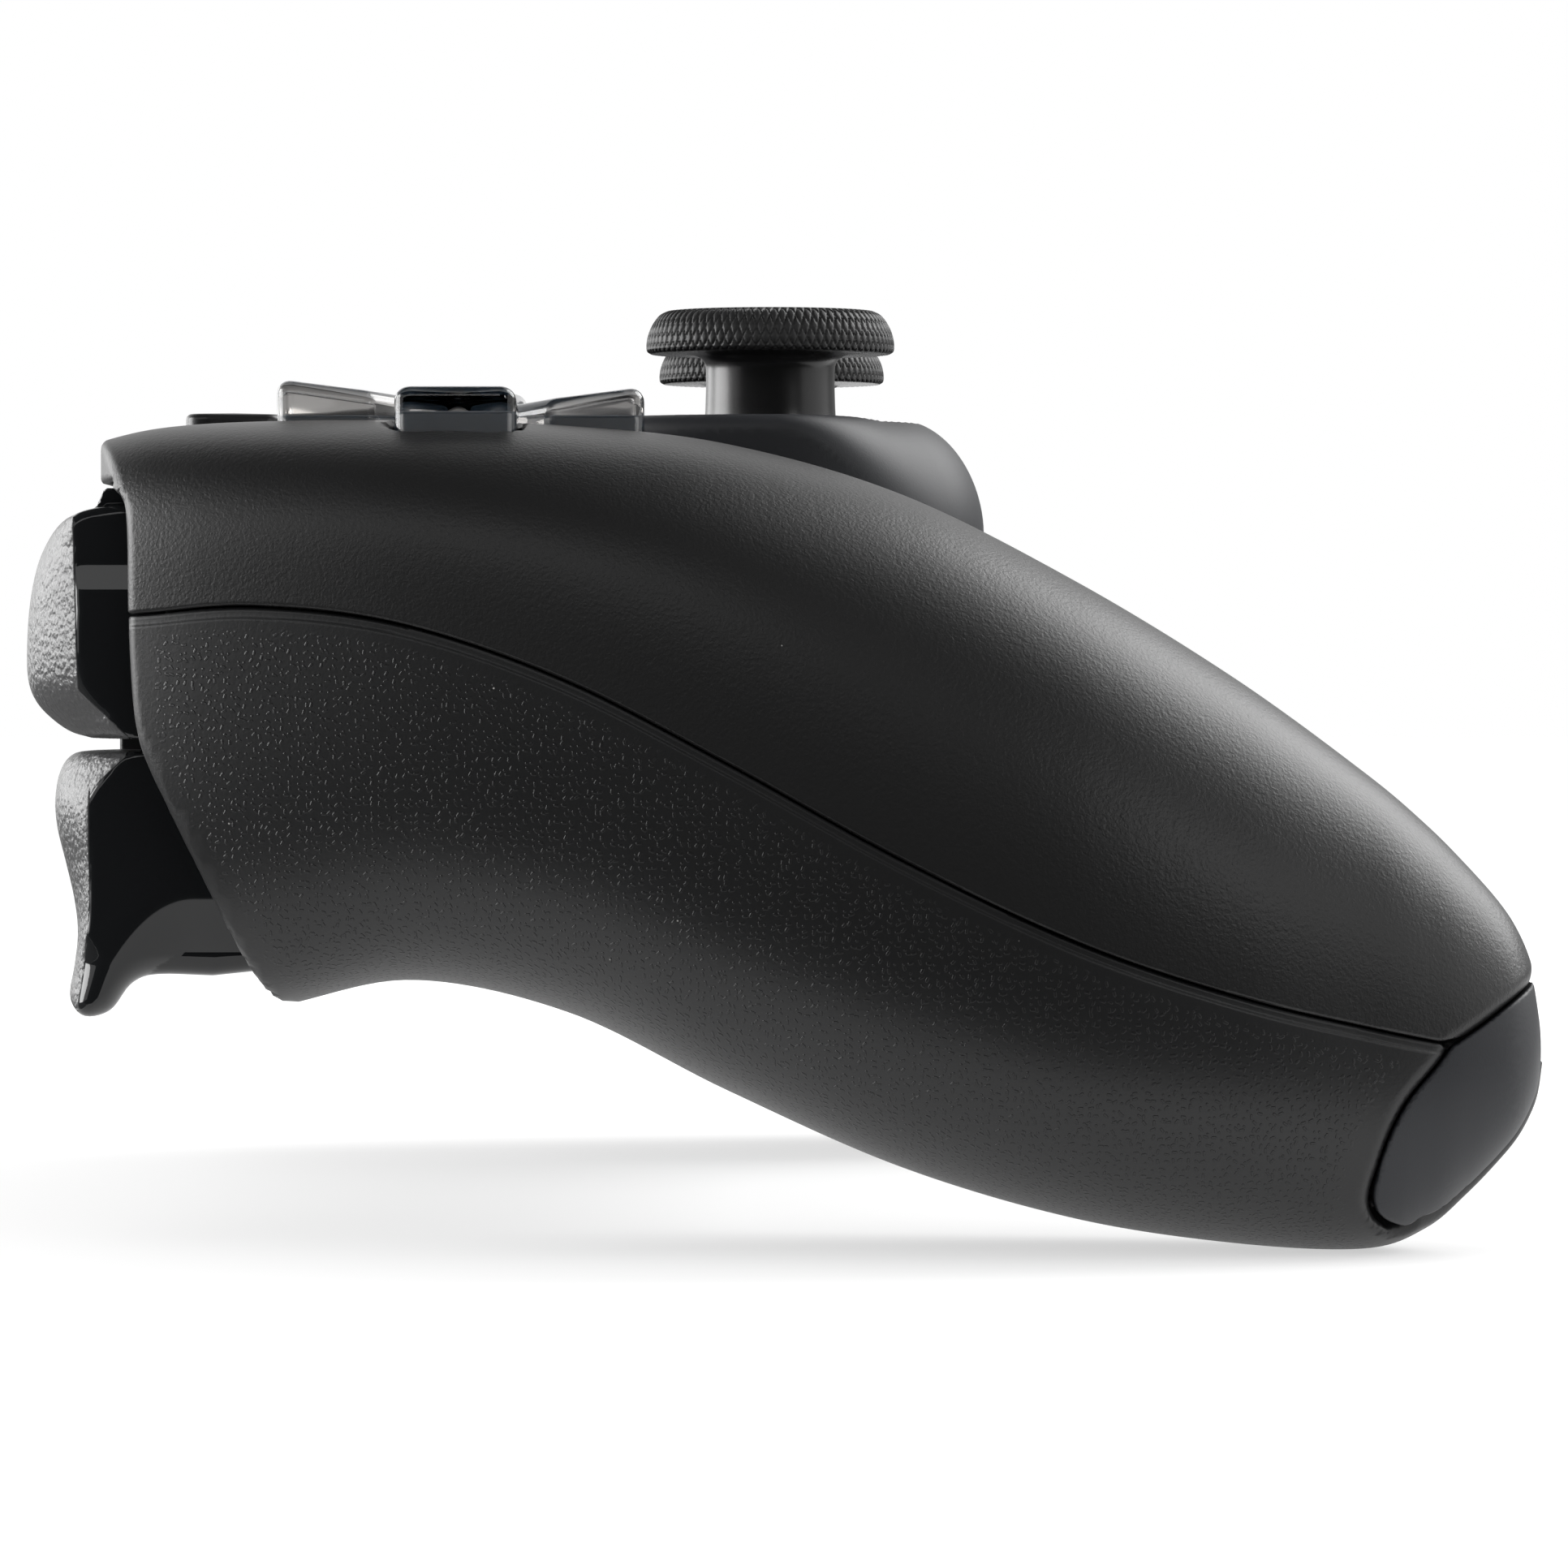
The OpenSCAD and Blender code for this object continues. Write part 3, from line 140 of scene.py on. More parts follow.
# grip and wing sections from the front to the tip: y, outer x, ridge x, inner x above and below the seam,
# top z, underside z, seam z, squareness
gripRows = [
    (52.0, 60.0, 50.0, -37.5, 32.0, 54.8, 20.7, 43.5, 3.2),
    (50.0, 61.5, 50.0, -38.0, 32.0, 55.5, 17.0, 43.6, 3.2),
    (44.0, 66.2, 50.0, -40.0, 32.0, 57.0, 16.0, 43.9, 3.2),
    (36.0, 70.4, 50.5, -40.0, 32.0, 57.5, 16.4, 44.4, 3.2),
    (26.0, 74.2, 51.5, -40.0, 32.0, 57.5, 18.4, 43.2, 3.2),
    (15.0, 77.0, 53.0, -35.0, 33.0, 57.1, 16.2, 39.5, 3.0),
    (4.0, 78.9, 56.0, -5.0, 35.0, 55.8, 10.9, 33.9, 2.7),
    (-8.0, 79.9, 59.0, 32.0, 37.5, 52.3, 5.7, 27.3, 2.4),
    (-20.0, 79.7, 60.5, 40.5, 40.5, 46.3, 2.2, 21.7, 2.3),
    (-31.0, 77.6, 61.0, 44.0, 44.0, 39.6, 0.5, 18.0, 2.2),
    (-40.0, 74.4, 61.8, 48.5, 48.5, 33.05, 0.15, 15.8, 2.2),
    (-44.2, 72.6, 62.1, 51.2, 51.2, 29.5, 1.55, 14.9, 2.15),
    (-47.0, 71.1, 62.3, 53.3, 53.3, 26.7, 3.9, 14.4, 2.1),
    (-49.3, 69.5, 62.4, 55.3, 55.3, 24.1, 6.3, 14.0, 2.1),
    (-50.6, 68.2, 62.4, 56.6, 56.6, 22.1, 7.9, 13.9, 2.1),
    (-51.5, 66.8, 62.4, 58.0, 58.0, 19.9, 9.5, 13.9, 2.0),
    (-52.0, 65.2, 62.4, 59.6, 59.6, 17.4, 10.9, 13.9, 2.0),
    (-52.3, 63.2, 62.4, 61.6, 61.6, 14.7, 12.9, 13.9, 2.0),
]
gripTable = throughPoints(gripRows, 14)[::-1]
gripTable[:, 0] = np.maximum.accumulate(gripTable[:, 0])
gripColumn = {"out": 1, "ridge": 2, "inner": 3, "seam": 7}
tipY = -52.3

bodySize = {"wall": 2.0, "belly": 22.0, "frontY": 48.0, "coreX": 37.0, "coreFrontY": 47.8, "coreTopZ": 50.0,
            "podX": 30.0, "podY": 1.0, "podR": 15.6, "podTop": 58.3, "bridgeY": 3.0, "bridgeR": 15.2,
            "bridgeSoft": 6.0, "crestSoft": 3.0, "pivotZ": 46.0}
seamLine = {"level": 46.0, "slope": 0.93, "gap": 0.06, "edge": 0.22}
stripLine = {"frontY": -6.8, "share": 0.42, "slope": 0.92}


def gripAt(y, column):
    return np.interp(y, gripTable[:, 0], gripTable[:, column])


def sectionAt(y):
    return [gripAt(y, c) for c in range(1, gripTable.shape[1])]


def ringValue(x, z, s):  # superellipse in a section's plane: 1 on the skin, less inside
    out, ridge, inTop, inLow, top, low, seam, power = s
    across, up = x - ridge, z - seam
    inner = inLow + (inTop - inLow) * smoothStep(-4, 4, up)
    a = np.abs(across) / np.where(across > 0, out - ridge, ridge - inner)
    b = np.abs(up) / np.where(up > 0, top - seam, seam - low)
    return (a ** power + b ** power + 1e-12) ** (1 / power)


def gripField(x, y, z):  # the section value over its slope, which is close to a distance near the skin
    h = 0.02
    here, ahead = sectionAt(y), sectionAt(y + h)
    v = ringValue(x, z, here)
    dx = ringValue(x + h, z, here) - v
    dy = ringValue(x, z, ahead) - v
    dz = ringValue(x, z + h, here) - v
    slope = np.sqrt(dx * dx + dy * dy + dz * dz) / h
    return np.maximum((v - 1) / np.maximum(slope, 0.006), tipY - y)


def podPlan(x, y):  # plan distance to the two stick pods and the bridge between them, a tapering capsule
    b = bodySize
    ax, ay = b["podX"], b["podY"] - b["bridgeY"]
    soft = b["bridgeSoft"] ** 2 * np.maximum(1 - (x / ax) ** 2, 0)
    x = np.sqrt(x * x + soft)  # |x| without its middle corner
    t = np.clip((x * ax + (y - b["bridgeY"]) * ay) / (ax * ax + ay * ay), 0, 1)
    return np.hypot(x - t * ax, y - b["bridgeY"] - t * ay) - (b["bridgeR"] + t * (b["podR"] - b["bridgeR"]))


def seamHeight(x, y):  # the grips' seam, lifted to the trim's level edge in the middle
    grip = gripAt(y, gripColumn["seam"])
    lift = smoothStep(54, 38, np.abs(x)) * smoothStep(-27, -15, y) * smoothStep(41, 38, y)
    return grip + (seamLine["level"] - grip) * lift


def aboveSeam(x, y, z):
    return (z - seamHeight(x, y)) * seamLine["slope"]


def stripX(y):  # plan line between the front cover and the trim along a grip
    y = np.minimum(y, stripLine["frontY"])
    ridge, inner = gripAt(y, gripColumn["ridge"]), gripAt(y, gripColumn["inner"])
    return inner + stripLine["share"] * (ridge - inner)


def stripField(x, y):  # inside the strip of trim along each grip, in plan
    return np.maximum((np.abs(x) - stripX(y)) * stripLine["slope"], y - stripLine["frontY"])


def coreField(x, y, z):  # bowls under the pods and a box to the front wall
    b = bodySize
    bowl = podPlan(x, y) + np.interp(z, [22, 25, 32, 48], [8, 4.5, 1.5, 0])
    bowl = bowl * np.interp(z, [24, 30], [0.65, 0.95])  # the field runs flatter low down
    front = y - b["coreFrontY"] + np.interp(z, [22, 30], [4, 0])
    box = np.maximum(roundMax(np.abs(x) - b["coreX"], front, 3), b["podY"] - y)
    return roundMax(roundMax(roundMin(bowl, box, 8), b["belly"] - z, 5), z - b["coreTopZ"], 2)


def bodyField(x, y, z):
    grip = gripField(np.sqrt(x * x + bodySize["crestSoft"] ** 2), y, z)
    fill = 1.5 + 8 * smoothStep(46, 34, z)  # the grips run into the middle with a wider fillet low down
    return roundMin(grip, coreField(x, y, z), fill)


# z and y of the slanting edge beside bumper and trigger
wingEdge = throughPoints([(10, 31.0), (16.0, 34.2), (17.6, 35.6), (20.4, 37.2), (26, 39.9), (33.1, 43.4),
                          (36, 44.4), (39.5, 44.8), (44, 45), (49, 45.1), (51.6, 45.4), (52.6, 46.4),
                          (53.2, 48.0), (54.4, 49.5)], 10)
lipSweep = {"back": 3, "fromX": 50, "over": 16, "slope": 0.93}
bay = {"outX": 61.7, "lowIn": 1.4, "topZ": 53, "rearY": 30, "floorZ": 19.4, "frontY": 35.8, "footZ": 12}


def frontEdge(x, y, z):  # past the lip over the bumper, or past the slanting edge
    side, lip = np.abs(x), lipSweep
    plan = y - (bodySize["frontY"] - lip["back"] * (np.maximum(0, side - lip["fromX"]) / lip["over"]) ** 2)
    slant = (y - np.interp(z, wingEdge[:, 0], wingEdge[:, 1])) * lip["slope"]
    return np.maximum(plan, np.minimum(slant, side - bodySize["coreX"]))


def bayField(x, y, z):  # room for bumper and trigger
    outer = np.abs(x) - bay["outX"] + bay["lowIn"] * smoothStep(35, 33, z)
    side = np.maximum(bodySize["coreX"] - np.abs(x), outer)
    upper = np.maximum(bay["rearY"] - y, bay["floorZ"] - z)
    lower = np.maximum(bay["frontY"] - y, bay["footZ"] - z)
    return np.maximum(side, np.maximum(np.minimum(upper, lower), z - bay["topZ"]))


# end caps: y and z of their outline on the grip's outer side, and how far round the tip they reach
capOutline = throughPoints([(-45.3, 14.5), (-44.1, 13.0), (-42.3, 10.9), (-41.1, 8.6), (-40.35, 6.2),
                            (-40.1, 4.5), (-40.4, 3.3), (-41.2, 2.5), (-42.3, 2.0), (-44, 0.9), (-48, 0.5),
                            (-57, 4), (-58, 12), (-57, 22), (-51.2, 18.35), (-49.7, 17.35), (-47.5, 15.85),
                            (-45.3, 14.5)], 4)
capEdge = {"y": (-52, -50.6, -49, -47, -45, -43.6, -42), "x": (63.6, 64.3, 64.7, 65.1, 65.8, 66.6, 66),
           "inner": 46.4, "corner": 0.8, "far": 9.0}


def outlineDistance(outline, p, q):  # signed distance to a closed outline, with its sign from crossings
    best, inside = np.full(len(p), 1e9), np.zeros(len(p), bool)
    for (ap, aq), (bp, bq) in zip(outline, np.roll(outline, -1, axis=0)):
        ep, eq = bp - ap, bq - aq
        t = np.clip(((p - ap) * ep + (q - aq) * eq) / (ep * ep + eq * eq + 1e-12), 0, 1)
        best = np.minimum(best, (p - ap - t * ep) ** 2 + (q - aq - t * eq) ** 2)
        if eq != 0:
            inside ^= ((aq > q) != (bq > q)) & (p < ep * (q - aq) / eq + ap)
    return np.where(inside, -1, 1) * np.sqrt(best)


def endCap(x, y, z):
    e = capEdge
    d = np.full(np.shape(y), e["far"])
    near = (y < -36) & (np.abs(x) > 44)
    if near.any():
        side, y, z = np.abs(x[near]), y[near], z[near]
        wrap = np.interp(y, e["y"], e["x"]) - side
        wrap = np.minimum(wrap, -aboveSeam(side, y, z))  # round the tip above the seam
        wrap = np.maximum(wrap, e["inner"] - side)
        d[near] = roundMax(outlineDistance(capOutline, y, z), wrap, e["corner"])
    return d


# touchpad, buttons and holes in plan
padPlace = {"frontY": 43.6, "rearY": 19.2, "frontW": 64.0, "rearW": 52.0, "corner": 3.0, "slope": 0.97,
            "bottomZ": 56.1, "topZ": 58.1, "edge": 0.6, "midY": 31}
groupPlace = {"x": 52.0, "y": 22.6, "ring": 11.6, "buttonR": 5.0, "keyReach": 12.8, "keyW": 8.4,
              "keyPoint": 2.6, "keyShoulder": 6.2, "keyCorner": 1.2, "clear": 0.35}
menuPlace = {"x": 38.0, "y": 39.6, "turn": 76.0, "length": 7.0, "width": 2.8, "topZ": 58.5, "bottomZ": 53.7}
mutePlace = {"y": -5.9, "length": 8, "width": 2.6, "topZ": 58.7, "bottomZ": 54.5, "clear": 0.3}
homePlace = {"y": 2.2, "r": 4.3, "clear": 0.3}


def padPlan(x, y):
    p = padPlace
    share = (y - p["rearY"]) / (p["frontY"] - p["rearY"])
    side = (np.abs(x) - (p["rearW"] + (p["frontW"] - p["rearW"]) * share) / 2) * p["slope"]
    return roundMax(side, np.maximum(y - p["frontY"], p["rearY"] - y), p["corner"])


def keyPlan(a, b):  # one direction key pointing along +b, with a at its middle
    g = groupPlace
    side = roundMax(np.abs(a) - g["keyW"] / 2, b - g["keyReach"], g["keyCorner"])
    slope = math.hypot(g["keyW"] / 2, g["keyShoulder"] - g["keyPoint"])
    slant = ((g["keyShoulder"] - g["keyPoint"]) * np.abs(a) - g["keyW"] / 2 * (b - g["keyPoint"])) / slope
    return roundMax(side, slant, g["keyCorner"])


def pillPlan(a, b, length, width):
    return np.hypot(np.maximum(np.abs(a) - (length - width) / 2, 0), b) - width / 2


def coverHoles(x, y):  # plan distance to the nearest key, button or menu hole, each with its clearance
    g, m = groupPlace, menuPlace
    u, v = np.abs(np.abs(x) - g["x"]), np.abs(y - g["y"])
    a, b = np.minimum(u, v), np.maximum(u, v)
    group = np.where(x < 0, keyPlan(a, b), np.hypot(a, b - g["ring"]) - g["buttonR"])
    c, s = math.cos(math.radians(m["turn"])), math.sin(math.radians(m["turn"]))
    p, q = np.abs(x) - m["x"], y - m["y"]
    menu = pillPlan(p * c + q * s, q * c - p * s, m["length"], m["width"])
    return np.minimum(group, menu) - g["clear"]


farOff = 9  # a field value that is clear of everything near it
frontShape = {"edge": 0.5, "padGap": 0.3, "padEdge": 0.4, "guideGap": 1.45, "guideY": 31.4, "guideHalf": 9,
              "holeEdge": 0.35, "podGap": 0.3, "podEdge": 0.45, "podLowZ": 30, "trimGap": 0.12,
              "stripLowZ": 12}


def frontCover(x, y, z):
    f = frontShape
    skin = roundMax(bodyField(x, y, z), frontEdge(x, y, z), f["edge"])
    d = np.maximum(skin, -skin - bodySize["wall"])
    d = roundMax(d, seamLine["gap"] - aboveSeam(x, y, z), seamLine["edge"])
    d = roundMax(d, -bayField(x, y, z), f["edge"])
    pad = padPlan(x, y)
    guides = np.maximum(pad - f["guideGap"], np.abs(y - f["guideY"]) - f["guideHalf"])
    d = roundMax(d, -np.minimum(pad - f["padGap"], guides), f["padEdge"])
    d = roundMax(d, -coverHoles(x, y), f["holeEdge"])
    d = roundMax(d, f["podGap"] - np.where(z > f["podLowZ"], podPlan(x, y), farOff), f["podEdge"])
    trim = np.minimum(np.where(z > f["stripLowZ"], stripField(x, y), farOff), endCap(x, y, z))
    return roundMax(d, f["trimGap"] - trim, 0.5 + 0.5 * smoothStep(-40, -44, y))


backShape = {"edge": 0.5, "seamStep": 0.16, "lowWall": 1.3, "capEdge": 0.9, "lipIn": 3.1, "lipUp": 1.5,
             "lipDown": 2.2, "postX": 46, "postY": 14, "postApart": 12, "tubeR": 2.75, "tubeHalf": 0.65,
             "tubeTopZ": 24.5, "wellR": 2.1, "wellTopZ": 24, "wellEdge": 0.35, "jackR": 2.65, "jackZ": 40.1,
             "jackEdge": 0.4, "socketZ": 38.85, "socketW": 9.4, "socketH": 3.7, "socketGap": 0.2,
             "socketEdge": 0.35, "contactX": 9, "contactHalfW": 2.15, "contactHalfH": 1.65,
             "contactEdge": 0.25, "stickRoom": 13}


def backCover(x, y, z):
    b = backShape
    w = aboveSeam(x, y, z)
    skin = bodyField(x, y, z) + b["seamStep"] * smoothStep(-0.85, -0.55, w)
    skin = roundMax(skin, frontEdge(x, y, z), b["edge"])
    wall = bodySize["wall"] + b["lowWall"] * smoothStep(26, 16, z)  # thicker under the grips
    d = np.maximum(skin, -skin - wall)
    d = roundMax(d, w + seamLine["gap"], seamLine["edge"])
    cap = endCap(x, y, z)
    d = roundMax(d, 0.1 + 0.3 * smoothStep(7, 3, z) - cap, b["capEdge"])  # the gap widens at the foot
    # lips behind the seam's gap and the cap's
    lip = np.maximum(w - b["lipUp"], -w - b["lipDown"])
    lip = np.maximum(skin + 2.25 - 0.5 * smoothStep(0, -0.6, w), lip)
    plate = np.maximum(cap - b["lipUp"], w - b["lipUp"])
    plate = np.maximum(skin + 2.4 - 0.6 * smoothStep(0.4, 0.9, cap), plate)
    d = np.minimum(d, np.maximum(np.minimum(lip, plate), -skin - b["lipIn"]))
    d = roundMax(d, -bayField(x, y, z), b["edge"])
    # screw wells with their tubes
    post = np.hypot(np.abs(x) - b["postX"], np.abs(y - b["postY"]) - b["postApart"])
    tube = np.maximum(np.abs(post - b["tubeR"]) - b["tubeHalf"], z - b["tubeTopZ"])
    d = np.minimum(d, np.maximum(tube, skin + 0.6))
    d = roundMax(d, np.where(z < b["wellTopZ"], b["wellR"] - post, -farOff), b["wellEdge"])
    # headphone and charging sockets, room for the sticks' domes, dock contacts
    d = roundMax(d, b["jackR"] - np.where(y < 0, np.hypot(x, z - b["jackZ"]), farOff), b["jackEdge"])
    port = np.where(y > 20, pillPlan(x, z - b["socketZ"], b["socketW"], b["socketH"]), farOff)
    d = roundMax(d, b["socketGap"] - port, b["socketEdge"])
    s = bodySize
    toPivot = np.sqrt((np.abs(x) - s["podX"]) ** 2 + (y - s["podY"]) ** 2 + (z - s["pivotZ"]) ** 2)
    d = np.maximum(d, -(toPivot - b["stickRoom"]))
    slot = np.abs(np.abs(x) - b["contactX"]) - b["contactHalfW"]
    slot = np.maximum(slot, np.abs(z - b["jackZ"]) - b["contactHalfH"])
    return roundMax(d, -np.where(y < 0, slot, farOff), b["contactEdge"])


def podField(x, y, z):  # pods with a level top whose edge is rounded, widely towards the player
    plan, power = podPlan(x, y), 1.9
    rear = smoothStep(0.1, 0.9, (2 - y) / np.maximum(plan + bodySize["podR"], 4))
    radius = 1.0 + 5.1 * rear * (0.57 + 0.43 * smoothStep(4, 22, np.abs(x)))
    height = 1.2 + 7.1 * rear
    a = np.maximum(plan + radius, 0) / radius
    b = np.maximum(z - bodySize["podTop"] + height, 0) / height
    return ((a ** power + b ** power + 1e-9) ** (1 / power) - 1) * radius


trimShape = {"sunk": 0.22, "seamGap": 0.15, "edge": 0.3, "capEdge": 0.25, "fillet": 1.2, "wall": 1.8,
             "lipIn": 3.0, "stickHoleR": 10.25, "stickHoleEdge": 0.7, "holeEdge": 0.45,
             "slotY": 9.4, "slotStep": 2.2, "slotSide": 3, "slotL": 2.6, "slotW": 1.0, "slotEdge": 0.2}


def centerTrim(x, y, z):
    t, s, h, m = trimShape, bodySize, homePlace, mutePlace
    grip = gripField(np.abs(x), y, z) + t["sunk"]
    pods, band = podField(x, y, z), stripField(x, y)
    w = aboveSeam(x, y, z)
    cap = endCap(x, y, z)
    strip = roundMax(grip, np.minimum(roundMax(band, t["seamGap"] - w, t["edge"]), cap), t["capEdge"])
    low = np.maximum(t["seamGap"] - w, 46.1 + 5.4 * smoothStep(-7, -4, y) - z)  # higher under the front cover
    d = roundMin(roundMax(pods, low, t["edge"]), strip, t["fillet"])
    d = np.maximum(d, -np.minimum(pods, grip) - t["wall"])
    lip = np.maximum(grip + 2.3 - 0.7 * smoothStep(-0.3, -0.8, band), np.maximum(band - 1.4, 0.3 - w))
    d = np.minimum(d, np.maximum(lip, np.maximum(-grip - t["lipIn"], 0.4 - pods)))
    d = roundMax(d, t["stickHoleR"] - np.hypot(np.abs(x) - s["podX"], y - s["podY"]), t["stickHoleEdge"])
    d = roundMax(d, h["r"] + h["clear"] - np.hypot(x, y - h["y"]), t["holeEdge"])
    d = roundMax(d, m["clear"] - pillPlan(x, y - m["y"], m["length"], m["width"]), t["holeEdge"])
    nearest = t["slotStep"] * np.clip(np.round(x / t["slotStep"]), -t["slotSide"], t["slotSide"])
    return roundMax(d, -pillPlan(y - t["slotY"], x - nearest, t["slotL"], t["slotW"]), t["slotEdge"])


def netSurface(field, place, shape, near):
    # grid cells that the skin passes through get one point each, at the mean of the crossings on their edges;
    # each crossed grid edge joins its four cells with a quad, and the points then slide onto the skin
    block = 4  # a coarse pass finds the blocks near the skin
    coarse = np.meshgrid(*[np.arange(0, n, block) for n in shape], indexing="ij")
    fine = field(*place(*[c.ravel() + 1.5 for c in coarse])).reshape(coarse[0].shape)
    for axis in range(3):
        fine = np.repeat(fine, block, axis)
    fine = fine[:shape[0], :shape[1], :shape[2]].copy()
    at = np.nonzero(np.abs(fine) < near)
    fine[at] = field(*place(*at))
    inside = fine < 0
    cells, crossings, flips = [], [], []
    step = np.eye(3, dtype=int)[:, :, None]
    for axis in range(3):
        lo, hi = [slice(None)] * 3, [slice(None)] * 3
        lo[axis], hi[axis] = slice(None, -1), slice(1, None)
        at = np.array(np.nonzero(inside[tuple(lo)] != inside[tuple(hi)]))
        at = at[:, np.all((at > 0) & (at < np.array(shape)[:, None] - 1), axis=0)]
        a, b = fine[tuple(at)], fine[tuple(at + step[axis])]
        crossings.append(at + step[axis] * (a / (a - b)))
        sb, sc = step[(axis + 1) % 3], step[(axis + 2) % 3]
        around = np.stack([at - sb - sc, at - sc, at, at - sb])
        cells.append((around[:, 0] * shape[1] + around[:, 1]) * shape[2] + around[:, 2])
        flips.append(a > 0)
    cells, crossings, flips = np.concatenate(cells, 1).T, np.concatenate(crossings, 1), np.concatenate(flips)
    quads = np.unique(cells, return_inverse=True)[1].reshape(cells.shape)
    count = np.bincount(quads.ravel())
    p = np.stack(place(*[np.bincount(quads.ravel(), np.repeat(c, 4)) / count for c in crossings]), 1)
    quads[flips] = quads[flips][:, ::-1]

    def slope(p, h=0.03):
        g = np.stack([field(*(p + h * e).T) - field(*(p - h * e).T) for e in np.eye(3)], 1) / (2 * h)
        steep = np.linalg.norm(g, axis=1, keepdims=True)
        return g / np.maximum(steep, 1e-6), steep

    ends = np.concatenate([quads[:, [0, 1]], quads[:, [1, 2]], quads[:, [2, 3]], quads[:, [3, 0]]])
    reach = np.bincount(ends[:, 0], minlength=len(p))[:, None]
    for turn in range(3):
        n, steep = slope(p)
        p = p - n * np.clip(field(*p.T)[:, None] / np.maximum(steep, 0.5), -0.35, 0.35)
        if turn < 2:  # even out the spacing along the skin
            total = [np.bincount(ends[:, 0], p[ends[:, 1], c], len(p)) for c in range(3)]
            pull = np.stack(total, 1) / reach - p
            p = p + 0.5 * (pull - n * np.sum(pull * n, 1, keepdims=True))
    return p, quads, slope(p)[0]


seamBand = {"low": -1.5, "high": 1.4, "step": 0.2}  # finer steps up and down, close to the seam


def shellGrid(step, upLow, upHigh):
    # lines across (1 is the strip line, 2 is past the outer side), along, and up from the seam
    bandLow, bandHigh = seamBand["low"], seamBand["high"]
    half = np.concatenate([np.arange(0, 0.968, step / 43), np.linspace(0.976, 1.024, 7),
                           np.linspace(1.036, 2, int(37 / step))])
    across = np.concatenate([-half[:0:-1], half])
    along = np.concatenate([np.arange(-53.4, -49, 0.28), np.arange(-49, -37, 0.42),
                            np.arange(-37, 43.6, step), np.arange(43.6, 48.6, 0.22),
                            np.arange(48.6, 50.5, step)])
    up = np.concatenate([np.arange(upLow, bandLow, step),
                         np.arange(max(upLow, bandLow), min(upHigh, bandHigh), seamBand["step"]),
                         np.arange(bandHigh, upHigh, step)])

    def place(i, j, k):
        u, y = np.interp(i, np.arange(len(across)), across), np.interp(j, np.arange(len(along)), along)
        inner, outer = stripX(y), gripAt(y, gripColumn["out"]) + 1.5
        x = np.sign(u) * np.where(np.abs(u) < 1, np.abs(u) * inner, inner + (np.abs(u) - 1) * (outer - inner))
        rise = np.interp(k, np.arange(len(up)), up)
        fine = np.clip(rise, bandLow, bandHigh)
        squeeze = np.interp(y, [tipY, -47, -36, -20], [0.3, 0.5, 0.8, 1])  # finer towards the tip
        return x, y, seamHeight(x, y) + fine + (rise - fine) * squeeze

    return place, (len(across), len(along), len(up))


def boxGrid(low, high, step):
    low = np.asarray(low, float)
    shape = tuple(int(n) for n in np.ceil((np.asarray(high) - low) / step) + 2)
    return (lambda *at: tuple(low[c] + (at[c] - 0.5) * step for c in range(3))), shape


# field, step, and how far below and above the seam the grid reaches
shellGrids = {"front_cover": (frontCover, 0.68, -1.5, 30), "back_cover": (backCover, 0.94, -40, 1.4),
              "center_trim": (centerTrim, 0.5, -27, 30)}
shells = {}
for name, (field, step, low, high) in shellGrids.items():
    points, quads, normals = netSurface(field, *shellGrid(step, low, high), near=8)
    shells[name] = putMesh(name + "_skin", points, quads, normals)
    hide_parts(name)
    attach(shells[name], "shell")
    print(name, "skin:", len(quads), "quads")


def ride(piece, body, *replaced):
    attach(piece, body)
    if replaced:
        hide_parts(*replaced)
    return piece


def plateRings(middles, outs, radius, levels):  # the outline at each (inset, height) level
    flat = np.zeros(len(outs))
    return np.stack([np.column_stack([middles + (radius - d) * outs, flat + z]) for d, z in levels])


def edgeLevels(top, radius, count=6):  # inset and height round a top edge
    a = np.linspace(0, math.pi / 2, count)
    return list(zip(radius * (1 - np.cos(a)), top - radius + radius * np.sin(a)))


def spinning(turn):
    c, s = math.cos(math.radians(turn)), math.sin(math.radians(turn))
    return np.array([[c, -s, 0], [s, c, 0], [0, 0, 1]])


pieces, bases = {}, []

# direction keys: a five-sided plan with a top that falls towards the middle and a soft edge, over a dark base
keyShape = {"bottomZ": 52.4, "sideZ": 56.5, "fall": 1.3, "edge": 1.0, "dish": 0.3, "heartY": 8.6,
            "heartFall": 0.42, "baseIn": 0.45, "baseLowZ": 52.7, "baseTopZ": 57.85, "baseEdge": 0.25}
keyTurns = {"dpad_up": (0, 60.4), "dpad_left": (90, 59.7), "dpad_down": (180, 59.85),
            "dpad_right": (270, 60.0)}
g, k = groupPlace, keyShape
half = g["keyW"] / 2
corners = [(0, g["keyPoint"]), (half, g["keyShoulder"]), (half, g["keyReach"]), (-half, g["keyReach"]),
           (-half, g["keyShoulder"])]
middles, outs = roundedOutline(corners, g["keyCorner"])
topLevels = [(0, k["bottomZ"]), (0, k["sideZ"])] + edgeLevels(0, k["edge"], 8)
baseLevels = [(k["baseIn"] + d, z) for d, z in edgeLevels(k["baseTopZ"], k["baseEdge"], 4)]
baseLevels = [(k["baseIn"], k["baseLowZ"])] + baseLevels
shift = np.array([-g["x"], g["y"], 0])
